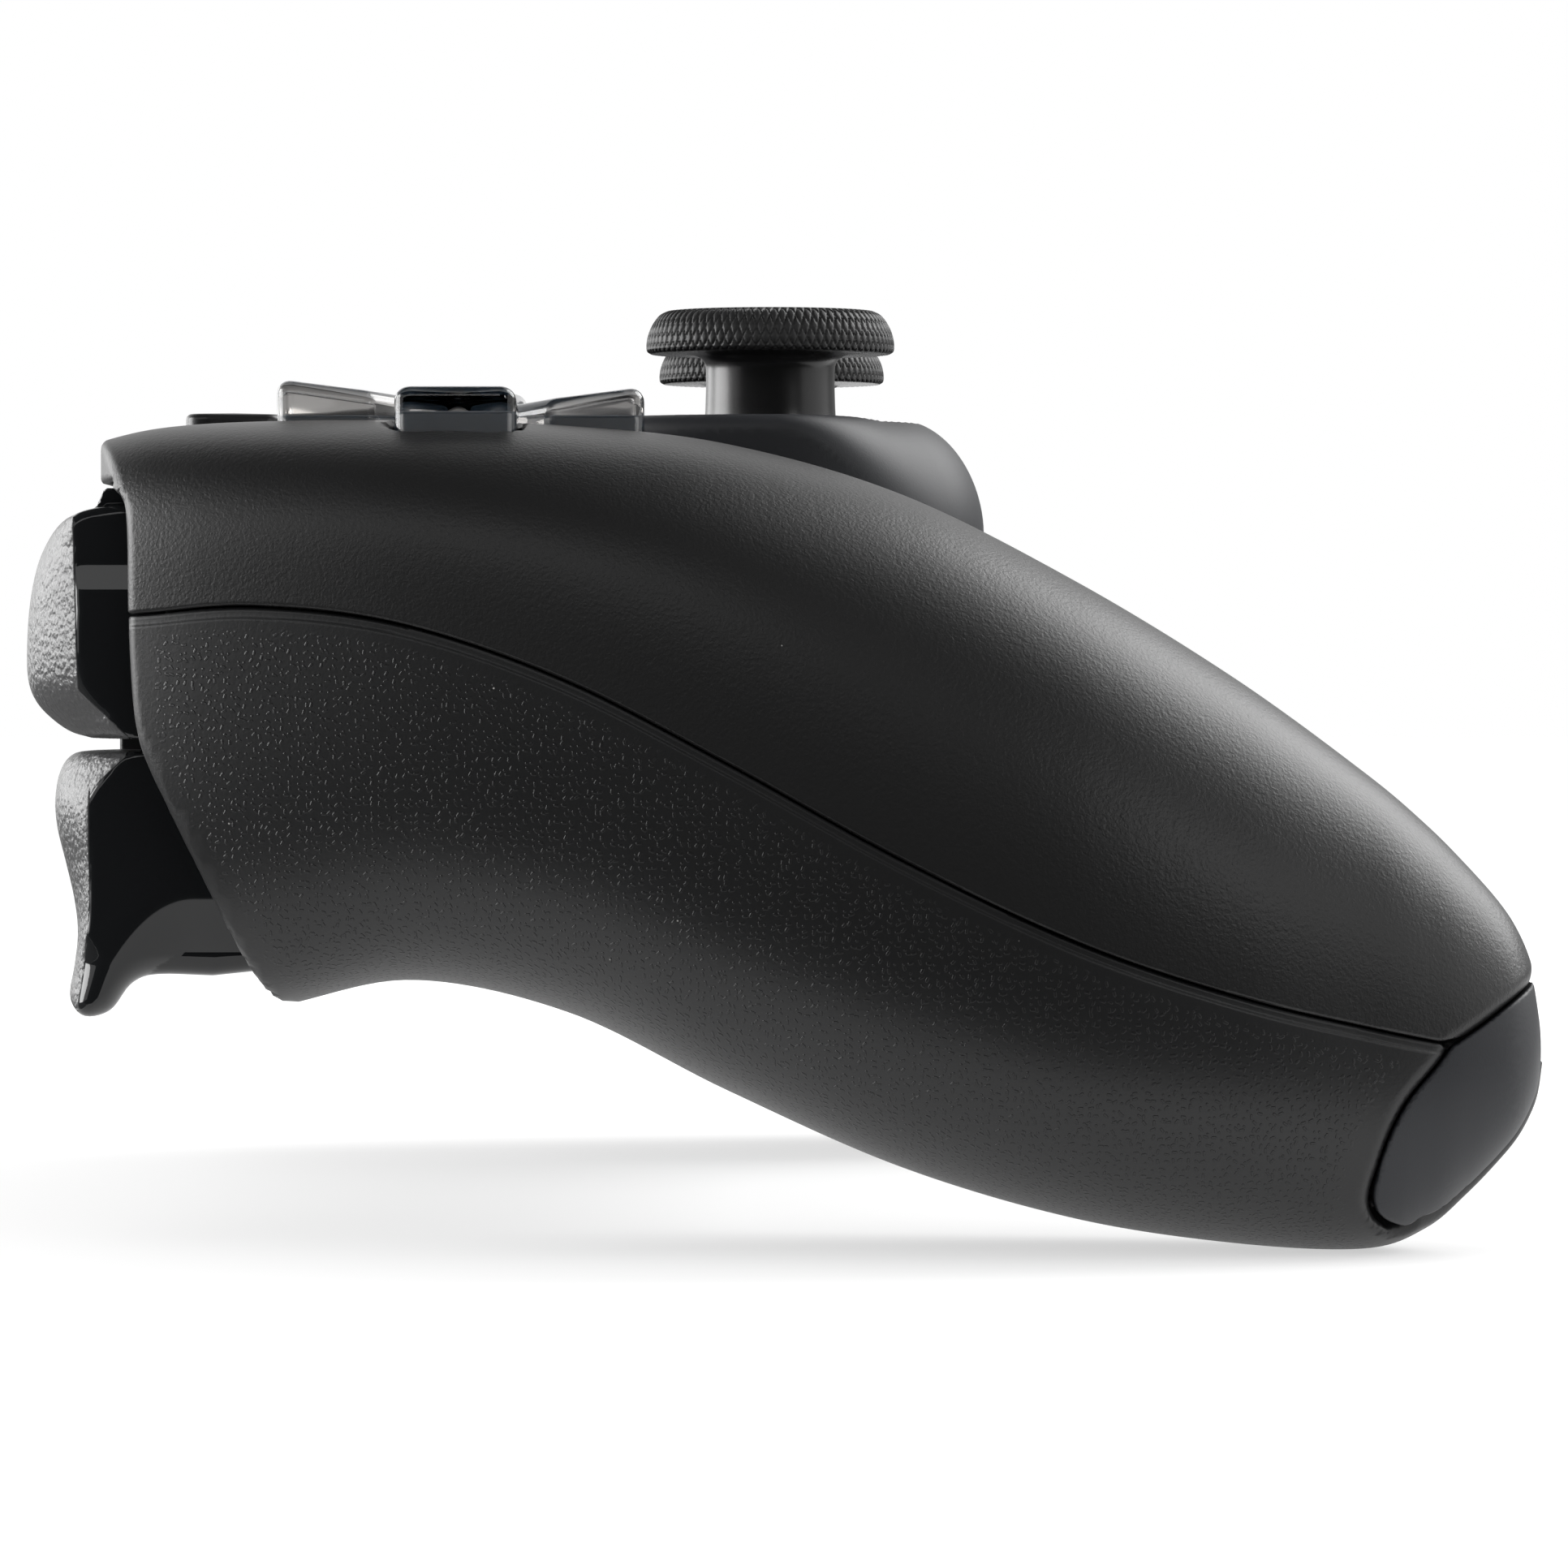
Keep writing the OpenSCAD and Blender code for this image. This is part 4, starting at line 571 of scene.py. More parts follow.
for name, (turn, outerZ) in keyTurns.items():
    rings = plateRings(middles, outs, g["keyCorner"], topLevels)
    fallen = outerZ - k["fall"] * (g["keyReach"] - rings[2:, :, 1]) / (g["keyReach"] - g["keyPoint"])
    rings[2:, :, 2] += fallen
    heart = np.array([0, k["heartY"], outerZ - k["fall"] * k["heartFall"]])
    inner = [heart + (rings[-1] - heart) * s - [0, 0, k["dish"] * (1 - s * s)] for s in (0.8, 0.55, 0.3)]
    spin = spinning(turn)
    rings = np.concatenate([rings, np.stack(inner)]) @ spin.T + shift
    low = spin @ (0, k["heartY"], k["bottomZ"]) + shift
    high = spin @ (heart - [0, 0, k["dish"]]) + shift
    pieces[name] = ride(ringStack(name + "_petal", rings, low, high, 50), name, name)
    base = plateRings(middles, outs, g["keyCorner"], baseLevels) @ spin.T + shift
    ends = [spin @ (0, k["heartY"], z) + shift for z in (k["baseLowZ"], k["baseTopZ"])]
    bases.append(ride(ringStack(name + "_base", base, *ends, 50), name))

# face buttons: flat domes over a dark base
buttonShape = {"bottomZ": 52.4, "edgeZ": 59.15, "topZ": 59.8, "edge": 0.7, "domeIn": 0.62}
buttonPlaces = {"button_north": (0, 1), "button_south": (0, -1), "button_west": (-1, 0),
                "button_east": (1, 0)}
buttonBase = [(0, 52.7), (4.5, 52.7), (4.5, 57.5), (4.4, 57.75), (4.1, 57.85), (0, 57.85)]
b = buttonShape
a = np.linspace(0, math.pi / 2, 8)[:-1]
rim = [(g["buttonR"] - b["edge"] * (1 - math.cos(v)), b["edgeZ"] - b["edge"] + b["edge"] * math.sin(v))
       for v in a]
rise, domeR = b["topZ"] - b["edgeZ"], g["buttonR"] - b["domeIn"]
dome = [(r, b["topZ"] - rise * (r / domeR) ** 2) for r in (4.3, 3.8, 3.2, 2.5, 1.7, 0.9, 0)]
profile = [(0, b["bottomZ"]), (g["buttonR"], b["bottomZ"])] + rim + dome
for name, (dx, dy) in buttonPlaces.items():
    middle = (g["x"] + dx * g["ring"], g["y"] + dy * g["ring"])
    pieces[name] = ride(turned(name + "_dome", profile, middle), name, name)
    bases.append(ride(turned(name + "_base", buttonBase, middle), name))


def pill(name, p, middle, turn, edge=0.45, crest=0.08):  # p: length, width, top and bottom z
    e, r = (p["length"] - p["width"]) / 2, p["width"] / 2
    mids, dirs = roundedOutline([(-e - r, -r), (e + r, -r), (e + r, r), (-e - r, r)], r - 1e-4, 12)
    rings = plateRings(mids, dirs, r, [(0, p["bottomZ"])] + edgeLevels(p["topZ"], edge, 6))
    rings = rings @ spinning(turn).T + np.array([*middle, 0])
    return ringStack(name, rings, (*middle, p["bottomZ"]), (*middle, p["topZ"] + crest), 50)


m = menuPlace
for name, side in (("create_button", -1), ("options_button", 1)):
    piece = pill(name + "_pill", m, (side * m["x"], m["y"]), side * m["turn"])
    pieces[name] = ride(piece, name, name)
piece = pill("mute_button_pill", mutePlace, (0, mutePlace["y"]), 0)
pieces["mute_button"] = ride(piece, "mute_button", "mute_button")
homeShape = [(0, 54.5), (4.3, 54.5), (4.3, 58.4), (4.18, 58.66), (3.9, 58.78), (3.5, 58.8), (3.1, 58.62),
             (2.2, 58.52), (0, 58.5)]
piece = turned("home_button_disc", homeShape, (0, homePlace["y"]))
pieces["home_button"] = ride(piece, "home_button", "home_button")

# touchpad: a plate with a soft edge, narrower towards the player
p = padPlace
w1, w2 = p["frontW"] / 2, p["rearW"] / 2
corners = [(-w2, p["rearY"]), (w2, p["rearY"]), (w1, p["frontY"]), (-w1, p["frontY"])]
mids, dirs = roundedOutline(corners, p["corner"], 14)
rings = plateRings(mids, dirs, p["corner"], [(0, p["bottomZ"])] + edgeLevels(p["topZ"], p["edge"], 7))
piece = ringStack("touchpad_plate", rings, (0, p["midY"], p["bottomZ"]), (0, p["midY"], p["topZ"]), 50)
pieces["touchpad"] = ride(piece, "touchpad", "touchpad")
print("keys, buttons and touchpad made")

# thumb sticks: dished cap with a knurled flank, neck, and the dome that closes the hole
stickShape = {"domeR": 12.6, "domeT": 1.2, "boreR": 3.8, "boreLowZ": 51.0, "boreTopZ": 56.6, "dishZ": 65.6,
              "knurls": 84, "knurlRows": 5, "knurlDepth": 0.12, "perKnurl": 7}
k = stickShape
stickX, stickY, pivotZ = (bodySize[c] for c in ("podX", "podY", "pivotZ"))
polar = np.radians(np.linspace(75, 25, 16))
innerR = k["domeR"] - k["domeT"]
inside = np.column_stack([innerR * np.sin(polar[::-1]), pivotZ + innerR * np.cos(polar[::-1])])
outside = np.column_stack([k["domeR"] * np.sin(polar), pivotZ + k["domeR"] * np.cos(polar)])
neck = throughPoints([(5.05, 57.75), (4.8, 58.4), (4.72, 60), (4.7, 61.5), (4.78, 62.4), (5.3, 62.95),
                      (6.4, 63.1), (7.9, 63.12)], 4)
flank = throughPoints([(8.65, 63.14), (8.95, 63.32), (9.02, 63.65), (8.97, 64.2), (8.8, 64.8), (8.5, 65.4),
                       (8.05, 65.95), (7.45, 66.25)], 8)
dish = throughPoints([(6.85, 66.2), (6.4, 66.08), (5.6, 65.9), (4.2, 65.72), (2.2, 65.62), (0.6, 65.6)], 3)
bore = [(k["boreR"], k["boreLowZ"]), (k["boreR"], k["boreTopZ"])]
outline = np.vstack([bore, inside, outside, neck, flank, dish])
below = len(outline) - len(dish) - len(flank)  # rows of the bore, dome and neck
angle = np.linspace(0, 2 * math.pi, k["knurls"] * k["perKnurl"], endpoint=False)
share = np.clip((np.arange(len(outline)) - below) / (len(flank) - 1), -1, 2)[:, None]
row = share * k["knurlRows"]
wave, slant = k["knurls"] / 2 * angle, math.pi / 2 * row
grain = np.minimum(np.abs(np.sin(wave + slant)), np.abs(np.sin(wave - slant)))
grain = k["knurlDepth"] * (smoothStep(0.05, 0.6, grain) - 0.7) * ((share > 0) & (share < 1))
along = np.gradient(outline, axis=0)
along /= np.linalg.norm(along, axis=1, keepdims=True)
r, z = outline[:, :1] + along[:, 1:] * grain, outline[:, 1:] - along[:, :1] * grain
under = np.repeat(np.arange(len(outline) - 1) < below, len(angle))  # these faces take the neck's material
under = np.append(under, np.zeros(2 * len(angle))).astype(np.int32)
for side, x in (("left", -stickX), ("right", stickX)):
    rings = np.stack([x + r * np.cos(angle), stickY + r * np.sin(angle), z + 0 * angle], -1)
    name = side + "_stick_cap"
    piece = ringStack(name + "_skin", rings, (x, stickY, k["boreLowZ"]), (x, stickY, k["dishZ"]), 60)
    pieces[name] = ride(piece, name, name)
    piece.data.polygons.foreach_set("material_index", under)
print("sticks made")

# charging socket: a steel sleeve open to the front, with its tongue
socket = {"wall": 0.32, "depth": 5.0, "tongueW": 6.5, "tongueH": 0.75, "tongueShort": 1.2, "tongueEdge": 0.2}
low, high = (np.array(c) * 1000 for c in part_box("usb_socket"))
outY, midZ, tall, wide = high[1], (low[2] + high[2]) / 2, high[2] - low[2], high[0] - low[0]


def facingFront(name, width, height, levels):  # a pill on the front wall; levels: inset and y
    r = height / 2
    corners = [(-width / 2, -r), (width / 2, -r), (width / 2, r), (-width / 2, r)]
    mids, dirs = roundedOutline(corners, r - 1e-4, 12)
    rings = plateRings(mids, dirs, r, levels) * [-1, 1, 1] + [0, midZ, 0]
    ends = [(0, levels[0][1], midZ), (0, levels[-1][1], midZ)]
    return ringStack(name, rings[:, :, [0, 2, 1]], *ends, 40)


s = socket
deepY, tongueY = outY - s["depth"], outY - s["tongueShort"]
sleeveLevels = [(0, low[1]), (0, outY), (s["wall"], outY), (s["wall"], deepY)]
tongueLevels = [(0, deepY), (0, tongueY - s["tongueEdge"]), (s["tongueEdge"], tongueY)]
sleeve = facingFront("usb_socket_sleeve", wide, tall, sleeveLevels)
tongue = facingFront("usb_socket_tongue", s["tongueW"], s["tongueH"], tongueLevels)
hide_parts("usb_socket")
for piece in (sleeve, tongue):
    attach(piece, "shell")
print("charging socket made")

# bumpers and triggers: a side outline of y and z, crowned in plan, with a panel on the bumper's gloss side
bumperShape = {"out": 60.35, "inner": 39.15, "rearY": 42.3, "panel": 0.6, "panelTopZ": 47.5, "panelFade": 2.0,
               "edge": 0.5, "tongueX": 51.5, "tongueHalf": 7.5, "tongueRearY": 43.4, "tongueFrontY": 47.9,
               "tongueLowZ": 50.5, "tongueTopZ": 52.7}
triggerShape = {"out": 59.7, "crownOut": 59.6, "inner": 39.3, "edge": 0.5, "footRise": 0.075}
# how far the fronts fall back at the outer end, by height
bumperCrown = np.transpose([(35.3, 3.8), (37, 5.0), (39, 4.5), (41.5, 4.3), (44.2, 4.2), (46.6, 3.8),
                            (48.6, 3.2), (50.2, 2.0), (51.4, 0.6)])
triggerCrown = np.transpose([(16.8, 1.4), (21.6, 1.45), (24, 1.95), (26.8, 2.65), (31, 3.3), (33, 4.4),
                             (34.3, 4.7)])
bumperFront = throughPoints([(46.4, 51.5), (48.4, 51.3), (50.2, 50.85), (51.4, 50.0), (52.4, 48.4),
                             (53.0, 46.6), (53.4, 44.2), (53.55, 41.5), (53.5, 39.6), (53.1, 38.2),
                             (52.2, 37.0), (50.6, 35.8), (49.0, 35.3)], 4)
bumperOutline = np.vstack([bumperFront, [(45.4, 35.35), (42.3, 38), (42.3, 51.3)]])
triggerFront = throughPoints([(48.2, 34.4), (50.2, 34.2), (51.2, 33.0), (51.55, 31.0), (51.4, 29),
                              (50.85, 26.8), (50.15, 24), (49.85, 21.6), (50.1, 18.9), (50.4, 16.8),
                              (49.9, 15.95), (48.8, 15.8), (47.5, 16.3), (46.2, 18), (44.4, 18.6),
                              (40.5, 18.5)], 4)
triggerOutline = np.vstack([triggerFront, [(37, 18.9), (36.7, 25), (37, 28.4), (43.4, 29.6), (44.3, 34.3)]])


def crown(x, amount, out):  # how far the front falls back towards the two ends
    outward = np.clip((x - 47) / (out - 47), 0, 1.2) ** 2.2
    return amount * outward + 0.9 * np.clip((42.5 - x) / 3.3, 0, 1.2) ** 2


def bumperField(x, y, z):
    b = bumperShape
    front = outlineDistance(bumperOutline, y + crown(x, np.interp(z, *bumperCrown), b["out"]), z)
    lift = b["panel"] * np.clip((b["panelTopZ"] - z) / b["panelFade"], 0, 1)
    d = roundMax(front, x - b["out"] - lift, 0.3 + 0.4 * smoothStep(50, 51, z))
    d = roundMax(d, b["inner"] - x, b["edge"])
    across = np.maximum(np.abs(x - b["tongueX"]) - b["tongueHalf"], y - b["tongueFrontY"] + (z - 51) * 0.45)
    upright = np.maximum(np.maximum(b["tongueRearY"] - y, z - b["tongueTopZ"]), b["tongueLowZ"] - z)
    return np.maximum(np.minimum(d, np.maximum(across, upright)), b["rearY"] - y)


def triggerLean(y, z):  # the side leans in below an arc
    return 0.05 * np.clip(27.2 - 5 * (np.maximum(y - 41, 0) / 5.5) ** 2 - z, 0, 6.8) ** 2


def triggerField(x, y, z):
    t = triggerShape
    z = z - t["footRise"] * (t["out"] - x) * smoothStep(22, 17, z)  # the foot rises towards the middle
    front = outlineDistance(triggerOutline, y + crown(x, np.interp(z, *triggerCrown), t["crownOut"]), z)
    d = roundMax(front, x - t["out"] + triggerLean(y, z), 0.35 + 1.6 * smoothStep(22, 19.5, z))
    return roundMax(d, t["inner"] - x, t["edge"])


# where the grained front band starts, as z and y on the side, and the band's lowest and highest z
bands = {"bumper": ([(35.4, 45.3), (38.7, 48.85), (50, 49.2)], 30, 50.75),
         "trigger": ([(17.1, 49.0), (19.5, 48.6), (23.4, 48.2), (31.7, 48.2), (34.1, 45.6)], 16.5, 40)}
# field, and the low and high corners of its grid
shoulders = {"bumper": (bumperField, (38, 41, 34), (62, 55, 54)),
             "trigger": (triggerField, (38, 36, 14), (61, 53, 36))}
for kind, (field, low, high) in shoulders.items():
    points, quads, normals = netSurface(field, *boxGrid(low, high, 0.3), near=3)
    line, lowest, highest = bands[kind]
    y, z = points[:, 1], points[:, 2]
    depth = np.minimum(y - np.interp(z, *np.transpose(line)), np.minimum(z - lowest, highest - z))
    depth = depth.astype(np.float32)
    for side, sign in (("left", -1), ("right", 1)):
        name = side + "_" + kind
        turn = np.array([sign, 1, 1])
        piece = putMesh(name + "_skin", points * turn, quads if sign > 0 else quads[:, ::-1], normals * turn)
        piece.data.attributes.new("band", "FLOAT", "POINT").data.foreach_set("value", depth)
        pieces[name] = ride(piece, name, name)
    print(kind, "skins:", len(quads), "quads each")


# shader helpers
def addNode(tree, kind, inputs=None, **settings):
    n = tree.nodes.new("ShaderNode" + kind)
    for key, value in settings.items():
        setattr(n, key, value)
    for key, value in (inputs or {}).items():
        if isinstance(value, bpy.types.NodeSocket):
            tree.links.new(value, n.inputs[key])
        else:
            n.inputs[key].default_value = value
    return n


def sums(tree, operation, a, b=0.0, c=0.0):
    return addNode(tree, "Math", {0: a, 1: b, 2: c}, operation=operation).outputs[0]


def addGroup(name, inputs, outputs):
    tree = bpy.data.node_groups.new(name, "ShaderNodeTree")
    for label, value in inputs.items():
        tree.interface.new_socket(label, in_out="INPUT", socket_type="NodeSocketFloat").default_value = value
    for label in outputs:
        tree.interface.new_socket(label, in_out="OUTPUT", socket_type="NodeSocketFloat")
    return tree, tree.nodes.new("NodeGroupInput"), tree.nodes.new("NodeGroupOutput")


# moulded grain: rounded cells broken up by noise, sized in millimetres
grainTree, start, end = addGroup("mouldedGrain", {"Size": 0.5, "Break": 0.5}, ["Height"])
coords = addNode(grainTree, "TexCoord").outputs["Object"]
scale = sums(grainTree, "DIVIDE", 1000.0, start.outputs["Size"])
warp = addNode(grainTree, "TexNoise", {"Vector": coords, "Scale": scale, "Detail": 1.0}).outputs["Color"]
shift = addNode(grainTree, "VectorMath", {0: warp, "Scale": 0.0005}, operation="SCALE").outputs[0]
bent = addNode(grainTree, "VectorMath", {0: coords, 1: shift}, operation="ADD").outputs[0]
cellInputs = {"Vector": bent, "Scale": scale, "Smoothness": 0.6}
cells = addNode(grainTree, "TexVoronoi", cellInputs, feature="SMOOTH_F1").outputs["Distance"]
finer = sums(grainTree, "MULTIPLY", scale, 1.3)
noise = addNode(grainTree, "TexNoise", {"Vector": coords, "Scale": finer, "Detail": 3.0}).outputs[0]
domes = sums(grainTree, "SUBTRACT", 1.0, cells)
broken = sums(grainTree, "MULTIPLY_ADD", noise, start.outputs["Break"], domes)
grainTree.links.new(broken, end.inputs["Height"])

# small dashes and pips, one to a cell at its own angle, on the micro map, fading where the pip mask does
pipTree, start, end = addGroup("microPips", {"Spacing": 0.52, "Dash": 0.2, "Width": 0.1}, ["Height"])
micro = addNode(pipTree, "UVMap", uv_map="micro").outputs[0]
scale = sums(pipTree, "DIVIDE", 1.0, start.outputs["Spacing"])
spread = addNode(pipTree, "VectorMath", {0: micro, "Scale": scale}, operation="SCALE").outputs[0]
cellInputs = {"Vector": spread, "Scale": 1.0, "Randomness": 0.75}
cell = addNode(pipTree, "TexVoronoi", cellInputs, voronoi_dimensions="2D")
offset = addNode(pipTree, "VectorMath", {0: spread, 1: cell.outputs["Position"]}, operation="SUBTRACT")
part = addNode(pipTree, "SeparateXYZ", {0: offset.outputs[0]})
tint = addNode(pipTree, "SeparateColor", {0: cell.outputs["Color"]})
turn = sums(pipTree, "MULTIPLY", tint.outputs[0], 6.283)
c, s = sums(pipTree, "COSINE", turn), sums(pipTree, "SINE", turn)
px, py = part.outputs[0], part.outputs[1]
lengthwise = sums(pipTree, "ADD", sums(pipTree, "MULTIPLY", px, c), sums(pipTree, "MULTIPLY", py, s))
crosswise = sums(pipTree, "SUBTRACT", sums(pipTree, "MULTIPLY", py, c), sums(pipTree, "MULTIPLY", px, s))
longOnes = sums(pipTree, "GREATER_THAN", tint.outputs[1], 0.35)
dash = sums(pipTree, "MULTIPLY", start.outputs["Dash"], longOnes)
beyond = sums(pipTree, "MAXIMUM", sums(pipTree, "SUBTRACT", sums(pipTree, "ABSOLUTE", lengthwise), dash), 0.0)
squares = [sums(pipTree, "MULTIPLY", v, v) for v in (beyond, crosswise)]
distance = sums(pipTree, "SQRT", sums(pipTree, "ADD", *squares))
outerWidth = sums(pipTree, "MULTIPLY", start.outputs["Width"], 2.0)
rangeInputs = {"Value": distance, "From Min": outerWidth, "From Max": start.outputs["Width"]}
raised = addNode(pipTree, "MapRange", rangeInputs, interpolation_type="SMOOTHSTEP").outputs[0]
mask = addNode(pipTree, "Attribute", attribute_name="pipMask").outputs["Fac"]
pipTree.links.new(sums(pipTree, "MULTIPLY", raised, mask), end.inputs["Height"])

# handling marks: a slow change of roughness, and rare specks of dust
wearInputs = {"Roughness": 0.5, "Spread": 0.06, "Dust": 0.1}
wearTree, start, end = addGroup("handling", wearInputs, ["Roughness", "Dust"])
coords = addNode(wearTree, "TexCoord").outputs["Object"]
slowInputs = {"Vector": coords, "Scale": 45.0, "Detail": 4.0, "Roughness": 0.6}
slow = sums(wearTree, "SUBTRACT", addNode(wearTree, "TexNoise", slowInputs).outputs[0], 0.5)
varied = sums(wearTree, "MULTIPLY_ADD", slow, start.outputs["Spread"], start.outputs["Roughness"])
wearTree.links.new(varied, end.inputs["Roughness"])
specks = addNode(wearTree, "TexVoronoi", {"Vector": coords, "Scale": 190.0}).outputs["Distance"]
speck = addNode(wearTree, "MapRange", {"Value": specks, "From Min": 0.016, "From Max": 0.008}).outputs[0]
wearTree.links.new(sums(wearTree, "MULTIPLY", speck, start.outputs["Dust"]), end.inputs["Dust"])
dustColor = (0.5, 0.49, 0.47, 1)


# grain's size and depth are in millimetres
def plastic(name, color, roughness, grain=None, depth=0.03, spread=0.06, dust=0.0, **extra):
    mat = bpy.data.materials.new(name)
    mat.use_nodes = True
    tree = mat.node_tree
    bsdf = tree.nodes["Principled BSDF"]
    bsdf.inputs["Base Color"].default_value = (*color, 1)
    wear = addNode(tree, "Group", node_tree=wearTree)
    wear.inputs["Roughness"].default_value = roughness
    wear.inputs["Spread"].default_value = spread
    wear.inputs["Dust"].default_value = dust
    tree.links.new(wear.outputs["Roughness"], bsdf.inputs["Roughness"])
    if dust:
        mixInputs = {"Factor": wear.outputs["Dust"], 6: (*color, 1), 7: dustColor}
        dusty = addNode(tree, "Mix", mixInputs, data_type="RGBA").outputs[2]
        tree.links.new(dusty, bsdf.inputs["Base Color"])
    if grain:
        group = addNode(tree, "Group", node_tree=grainTree)
        group.inputs["Size"].default_value = grain
        bumpInputs = {"Height": group.outputs["Height"], "Strength": 1.0, "Distance": depth * 0.001}
        bump = addNode(tree, "Bump", bumpInputs)
        tree.links.new(bump.outputs[0], bsdf.inputs["Normal"])
    for key, value in extra.items():
        bsdf.inputs[key].default_value = value
    return mat


looks = {
    "cover": plastic("coverBlack", (0.0082, 0.0082, 0.0084), 0.42, 0.28, 0.019, dust=0.5),
    "back": plastic("backBlack", (0.0078, 0.008, 0.0085), 0.44, 0.3, 0.008, dust=0.5),
    "trim": plastic("trimGrey", (0.0165, 0.0177, 0.021), 0.48, 0.16, 0.004, dust=0.4,
                    **{"Specular IOR Level": 0.38}),
    "gloss": plastic("shoulderGloss", (0.0072, 0.0077, 0.0083), 0.07, spread=0.03, dust=0.3),
    "rubber": plastic("stickRubber", (0.0115, 0.0115, 0.012), 0.48, 0.2, 0.006, dust=0.3),
    "neck": plastic("stickNeck", (0.009, 0.009, 0.0093), 0.27),
    "pad": plastic("padBlack", (0.015, 0.015, 0.0155), 0.42, 0.34, 0.012),
    "small": plastic("smallButton", (0.012, 0.012, 0.0125), 0.3),
    "guide": plastic("lightGuide", (0.75, 0.77, 0.8), 0.35, **{"Transmission Weight": 0.6}),
    "frame": plastic("frameBlack", (0.013, 0.013, 0.014), 0.55, 0.25, 0.01),
    "board": plastic("boardGreen", (0.008, 0.05, 0.03), 0.35, 0.5, 0.01),
    "membrane": plastic("membraneGrey", (0.06, 0.062, 0.066), 0.7, 0.3, 0.008),
    "cell": plastic("cellWrap", (0.05, 0.085, 0.13), 0.3, 0.6, 0.01),
    "steel": plastic("steel", (0.56, 0.56, 0.57), 0.3, 0.15, 0.002, Metallic=1.0),
    "contact": plastic("contactGold", (0.72, 0.55, 0.27), 0.28, 0.15, 0.002, Metallic=1.0),
    "white": plastic("gimbalWhite", (0.55, 0.55, 0.52), 0.4, 0.3, 0.004),
    "base": plastic("keyBase", (0.010, 0.018, 0.028), 0.3),
    "smoky": plastic("smokyKey", (0.98, 0.955, 0.93), 0.03, spread=0.01, IOR=1.49,
                     **{"Transmission Weight": 1.0}),
}
pipDepth = 0.0001
tree = looks["back"].node_tree  # pips over the back cover's fine grain
bump = next(n for n in tree.nodes if n.type == "BUMP")
pips = addNode(tree, "Group", node_tree=pipTree)
overInputs = {"Height": pips.outputs["Height"], "Strength": 1.0, "Distance": pipDepth,
              "Normal": bump.outputs[0]}
over = addNode(tree, "Bump", overInputs)
tree.links.new(over.outputs[0], tree.nodes["Principled BSDF"].inputs["Normal"])

# a coarsely grained band on the front of bumpers and triggers, starting where the band depth is zero; its
# grain and roughness are the plastic's own, and its paler colour is a painted sheen for the light the grain
# catches
bandShapeWithPaintedSheen = {"color": (0.05, 0.05, 0.051, 1), "roughness": 0.34, "grain": 0.5, "break": 0.9, "depth": 0.00009,
             "soft": 0.07}
s = bandShapeWithPaintedSheen
tree = looks["gloss"].node_tree
bsdf = tree.nodes["Principled BSDF"]
depth = addNode(tree, "Attribute", attribute_name="band").outputs["Fac"]
share = addNode(tree, "MapRange", {"Value": depth, "From Min": -s["soft"], "From Max": s["soft"]}).outputs[0]
plain, shine = (bsdf.inputs[key].links[0].from_socket for key in ("Base Color", "Roughness"))
# the paler band colour mixed in here is painted sheen, not the plastic's own tone
tint = addNode(tree, "Mix", {"Factor": share, 6: plain, 7: s["color"]}, data_type="RGBA")
finish = addNode(tree, "Mix", {"Factor": share, 2: shine, 3: s["roughness"]})
cells = addNode(tree, "Group", node_tree=grainTree)
cells.inputs["Size"].default_value = s["grain"]
cells.inputs["Break"].default_value = s["break"]
height = sums(tree, "MULTIPLY", cells.outputs["Height"], share)
relief = addNode(tree, "Bump", {"Height": height, "Strength": 1.0, "Distance": s["depth"]})
tree.links.new(tint.outputs[2], bsdf.inputs["Base Color"])
tree.links.new(finish.outputs[0], bsdf.inputs["Roughness"])
tree.links.new(relief.outputs[0], bsdf.inputs["Normal"])


def paint(piece, slot, *names):
    for name in names:
        piece.data.materials.append(looks[name])


def microMap(piece, mask):  # a flat map along the two axes that each face looks across, and a mask per point
    mesh = piece.data
    count = len(mesh.vertices)
    co, normal = np.empty(count * 3), np.empty(len(mesh.polygons) * 3)
    mesh.vertices.foreach_get("co", co)
    mesh.polygons.foreach_get("normal", normal)
    co, normal = co.reshape(-1, 3) * 1000, np.abs(normal.reshape(-1, 3))
    corner = np.empty(len(mesh.loops), np.int32)
    mesh.loops.foreach_get("vertex_index", corner)
    total = np.empty(len(mesh.polygons), np.int32)
    mesh.polygons.foreach_get("loop_total", total)
    axis = np.repeat(np.argmax(normal * [1.0, 0.9, 1.0], 1), total)
    p = co[corner]
    uv = np.where(axis[:, None] == 0, p[:, [1, 2]], np.where(axis[:, None] == 1, p[:, [0, 2]], p[:, [0, 1]]))
    mesh.uv_layers.new(name="micro").data.foreach_set("uv", uv.ravel().astype(np.float32))
    mesh.attributes.new("pipMask", "FLOAT", "POINT").data.foreach_set("value", mask(*co.T).astype(np.float32))


def pipMask(x, y, z):  # the pips stop short of the seam, the front edge and the end cap
    border = np.minimum(-aboveSeam(x, y, z) - 0.8, -frontEdge(x, y, z) - 1.0)
    border = np.minimum(border, endCap(x, y, z) - 1.5)
    return smoothStep(0.4, 2.2, border)


microMap(shells["back_cover"], pipMask)
for piece in bases:
    paint(piece, "smoky_key", "base")
paint(sleeve, "steel", "steel")
paint(tongue, "frame_black", "frame")
paint(shells["front_cover"], "cover_black", "cover")
paint(shells["back_cover"], "cover_black", "back")
paint(shells["center_trim"], "trim_grey", "trim")
for name, piece in pieces.items():
    if name.startswith(("dpad", "button")):
        paint(piece, "smoky_key", "smoky")
    elif name.endswith(("bumper", "trigger")):
        paint(piece, "shoulder_gloss", "gloss")
    elif name.endswith("stick_cap"):
        paint(piece, "stick_rubber", "rubber", "neck")
    elif name == "touchpad":
        paint(piece, "cover_black", "pad")
    else:
        paint(piece, "small_button", "small")
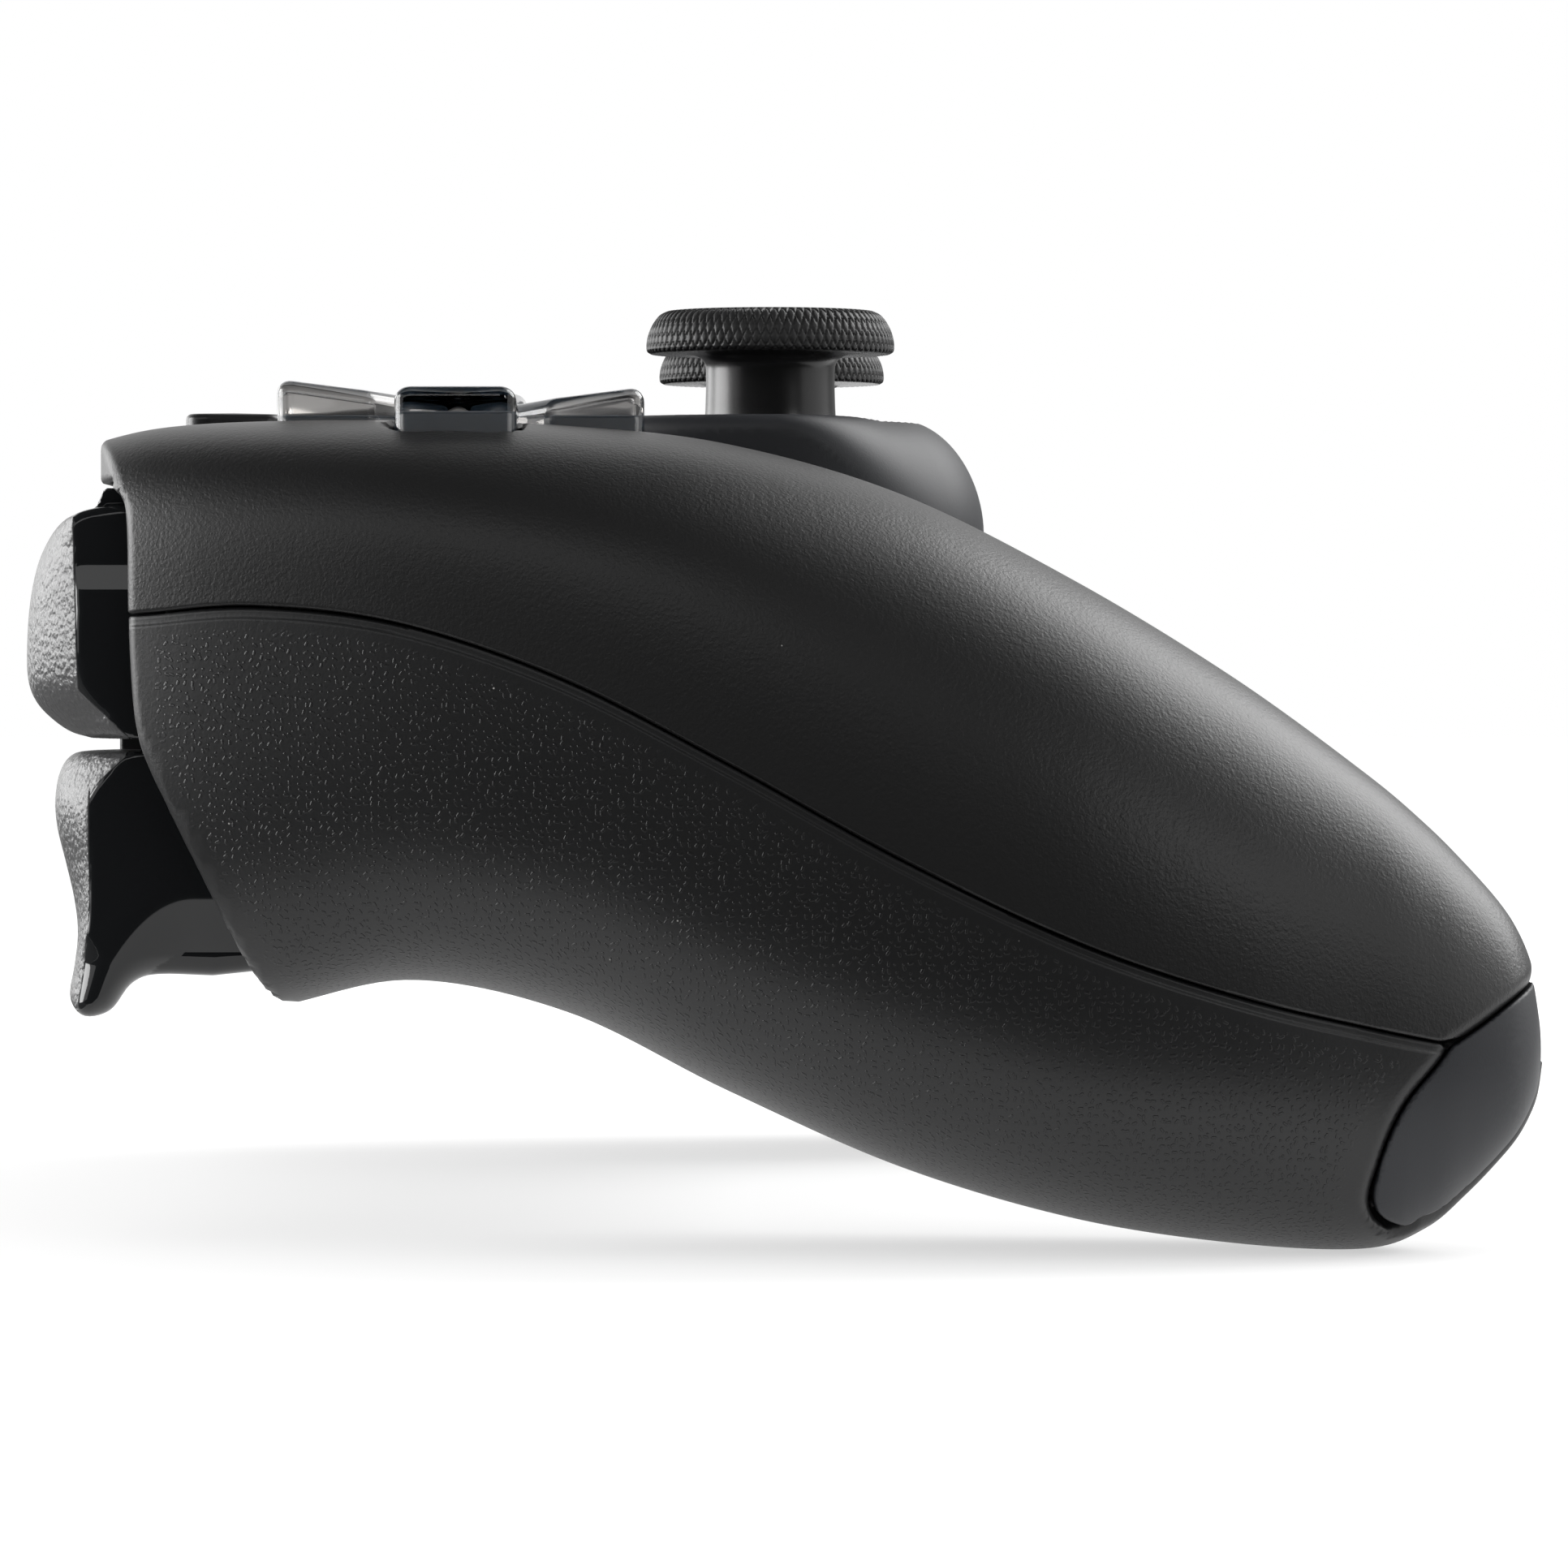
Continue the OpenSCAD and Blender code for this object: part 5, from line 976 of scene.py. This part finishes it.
# nodes shown as they are; yokes and posts are white, bases black, and the rest steel
innerLooks = {"light_guides": "guide", "touchpad_board": "board", "button_carrier": "frame",
              "speaker": "frame", "dpad_membrane": "membrane", "face_membrane": "membrane",
              "mid_frame": "frame", "main_board": "board", "battery_pack": "cell",
              "audio_socket": "frame", "charge_contacts": "contact"}
for name, node in nodes.items():
    kind = innerLooks.get(name)
    if kind is None:
        kind = "white" if name.endswith(("yoke", "post")) else "frame" if name.endswith("base") else "steel"
    if not node.hide_render:
        node.data.materials.clear()
        paint(node, None, kind)
print("materials made:", len(looks))


# floor, light and world
studio = {"floorSize": 8.0, "floorGrey": 0.45, "floorGlow": 0.56, "floorRoughness": 0.9, "worldLevel": 1.0,
          "keySize": 0.65, "keyPower": 5.6, "stripSize": 0.3, "stripPower": 0.7, "rimSize": 0.5,
          "rimPower": 5.0}
world = bpy.data.worlds.new("studio")
scene.world = world
world.use_nodes = True
world.node_tree.nodes["Background"].inputs["Color"].default_value = (1, 1, 1, 1)
world.node_tree.nodes["Background"].inputs["Strength"].default_value = studio["worldLevel"]


def areaLamp(name, place, target, size, power):
    data = bpy.data.lights.new(name, "AREA")
    data.shape, data.size, data.energy = "DISK", size, power
    lamp = bpy.data.objects.new(name, data)
    lamp.location = place
    lamp.rotation_euler = (Vector(target) - Vector(place)).to_track_quat("-Z", "Y").to_euler()
    scene.collection.objects.link(lamp)


def stageMaterial(name, grey, level, roughness=0.5):  # a dull surface with its own glow
    mat = bpy.data.materials.new(name)
    mat.use_nodes = True
    inputs = {"Base Color": (grey, grey, grey, 1), "Roughness": roughness, "Specular IOR Level": 0,
              "Emission Color": (1, 1, 1, 1), "Emission Strength": level}
    for key, value in inputs.items():
        mat.node_tree.nodes["Principled BSDF"].inputs[key].default_value = value
    return mat


def studioSheet(name, rows, mat):  # a sheet of quads between rows of points, part of the stage
    rows = np.asarray(rows, float)
    m, n = rows.shape[:2]
    a = (np.arange(m - 1)[:, None] * n + np.arange(n - 1)).ravel()
    sheet = putMesh(name, rows.reshape(-1, 3), np.stack([a, a + 1, a + n + 1, a + n], 1))
    sheet.data.materials.append(mat)
    return sheet


def studioCard(name, profile, low, high, level):  # bent along a profile of x and z, only in reflections
    rows = [[(x, y, z) for x, z in profile] for y in (low, high)]
    card = studioSheet(name, rows, stageMaterial(name, 0, level))
    card.visible_camera = card.visible_diffuse = card.visible_transmission = card.visible_shadow = False


# soft key on the far side towards the player, two lamps ahead of the pad, and cards for the reflections
areaLamp("key", (0.35, -0.57, 0.52), (0, -0.02, 0.03), studio["keySize"], studio["keyPower"])
areaLamp("frontStrip", (0.42, 0.45, 0.16), (-0.05, 0.05, 0.04), studio["stripSize"], studio["stripPower"])
areaLamp("rimStrip", (0.08, 0.72, 0.16), (-0.06, 0.05, 0.045), studio["rimSize"], studio["rimPower"])
studioCard("frontFlag", [(-92, 1), (-520, 1), (-560, 250), (-420, 520), (-120, 600)], -800, 800, 0.0)
studioCard("topFlag", [(-120, 600), (420, 600)], -150, 800, 0.03)
studioCard("backFlag", [(160, 1), (520, 1), (560, 250)], -800, -30, 0.3)
studioCard("leftFlag", [(-90, 1), (500, 1)], 72, 700, 0.15)
studioCard("fillCard", [(-470, 265), (-430, 395)], -60, 700, 1.3)
studioCard("sideCard", [(-480, 190), (-420, 310)], -480, -310, 5.0)

floorMat = stageMaterial("paleFloor", studio["floorGrey"], studio["floorGlow"], studio["floorRoughness"])
half = studio["floorSize"] * 500
studioSheet("floor", [[(-half, -half, 0), (half, -half, 0)], [(-half, half, 0), (half, half, 0)]], floorMat)
print("stage set")
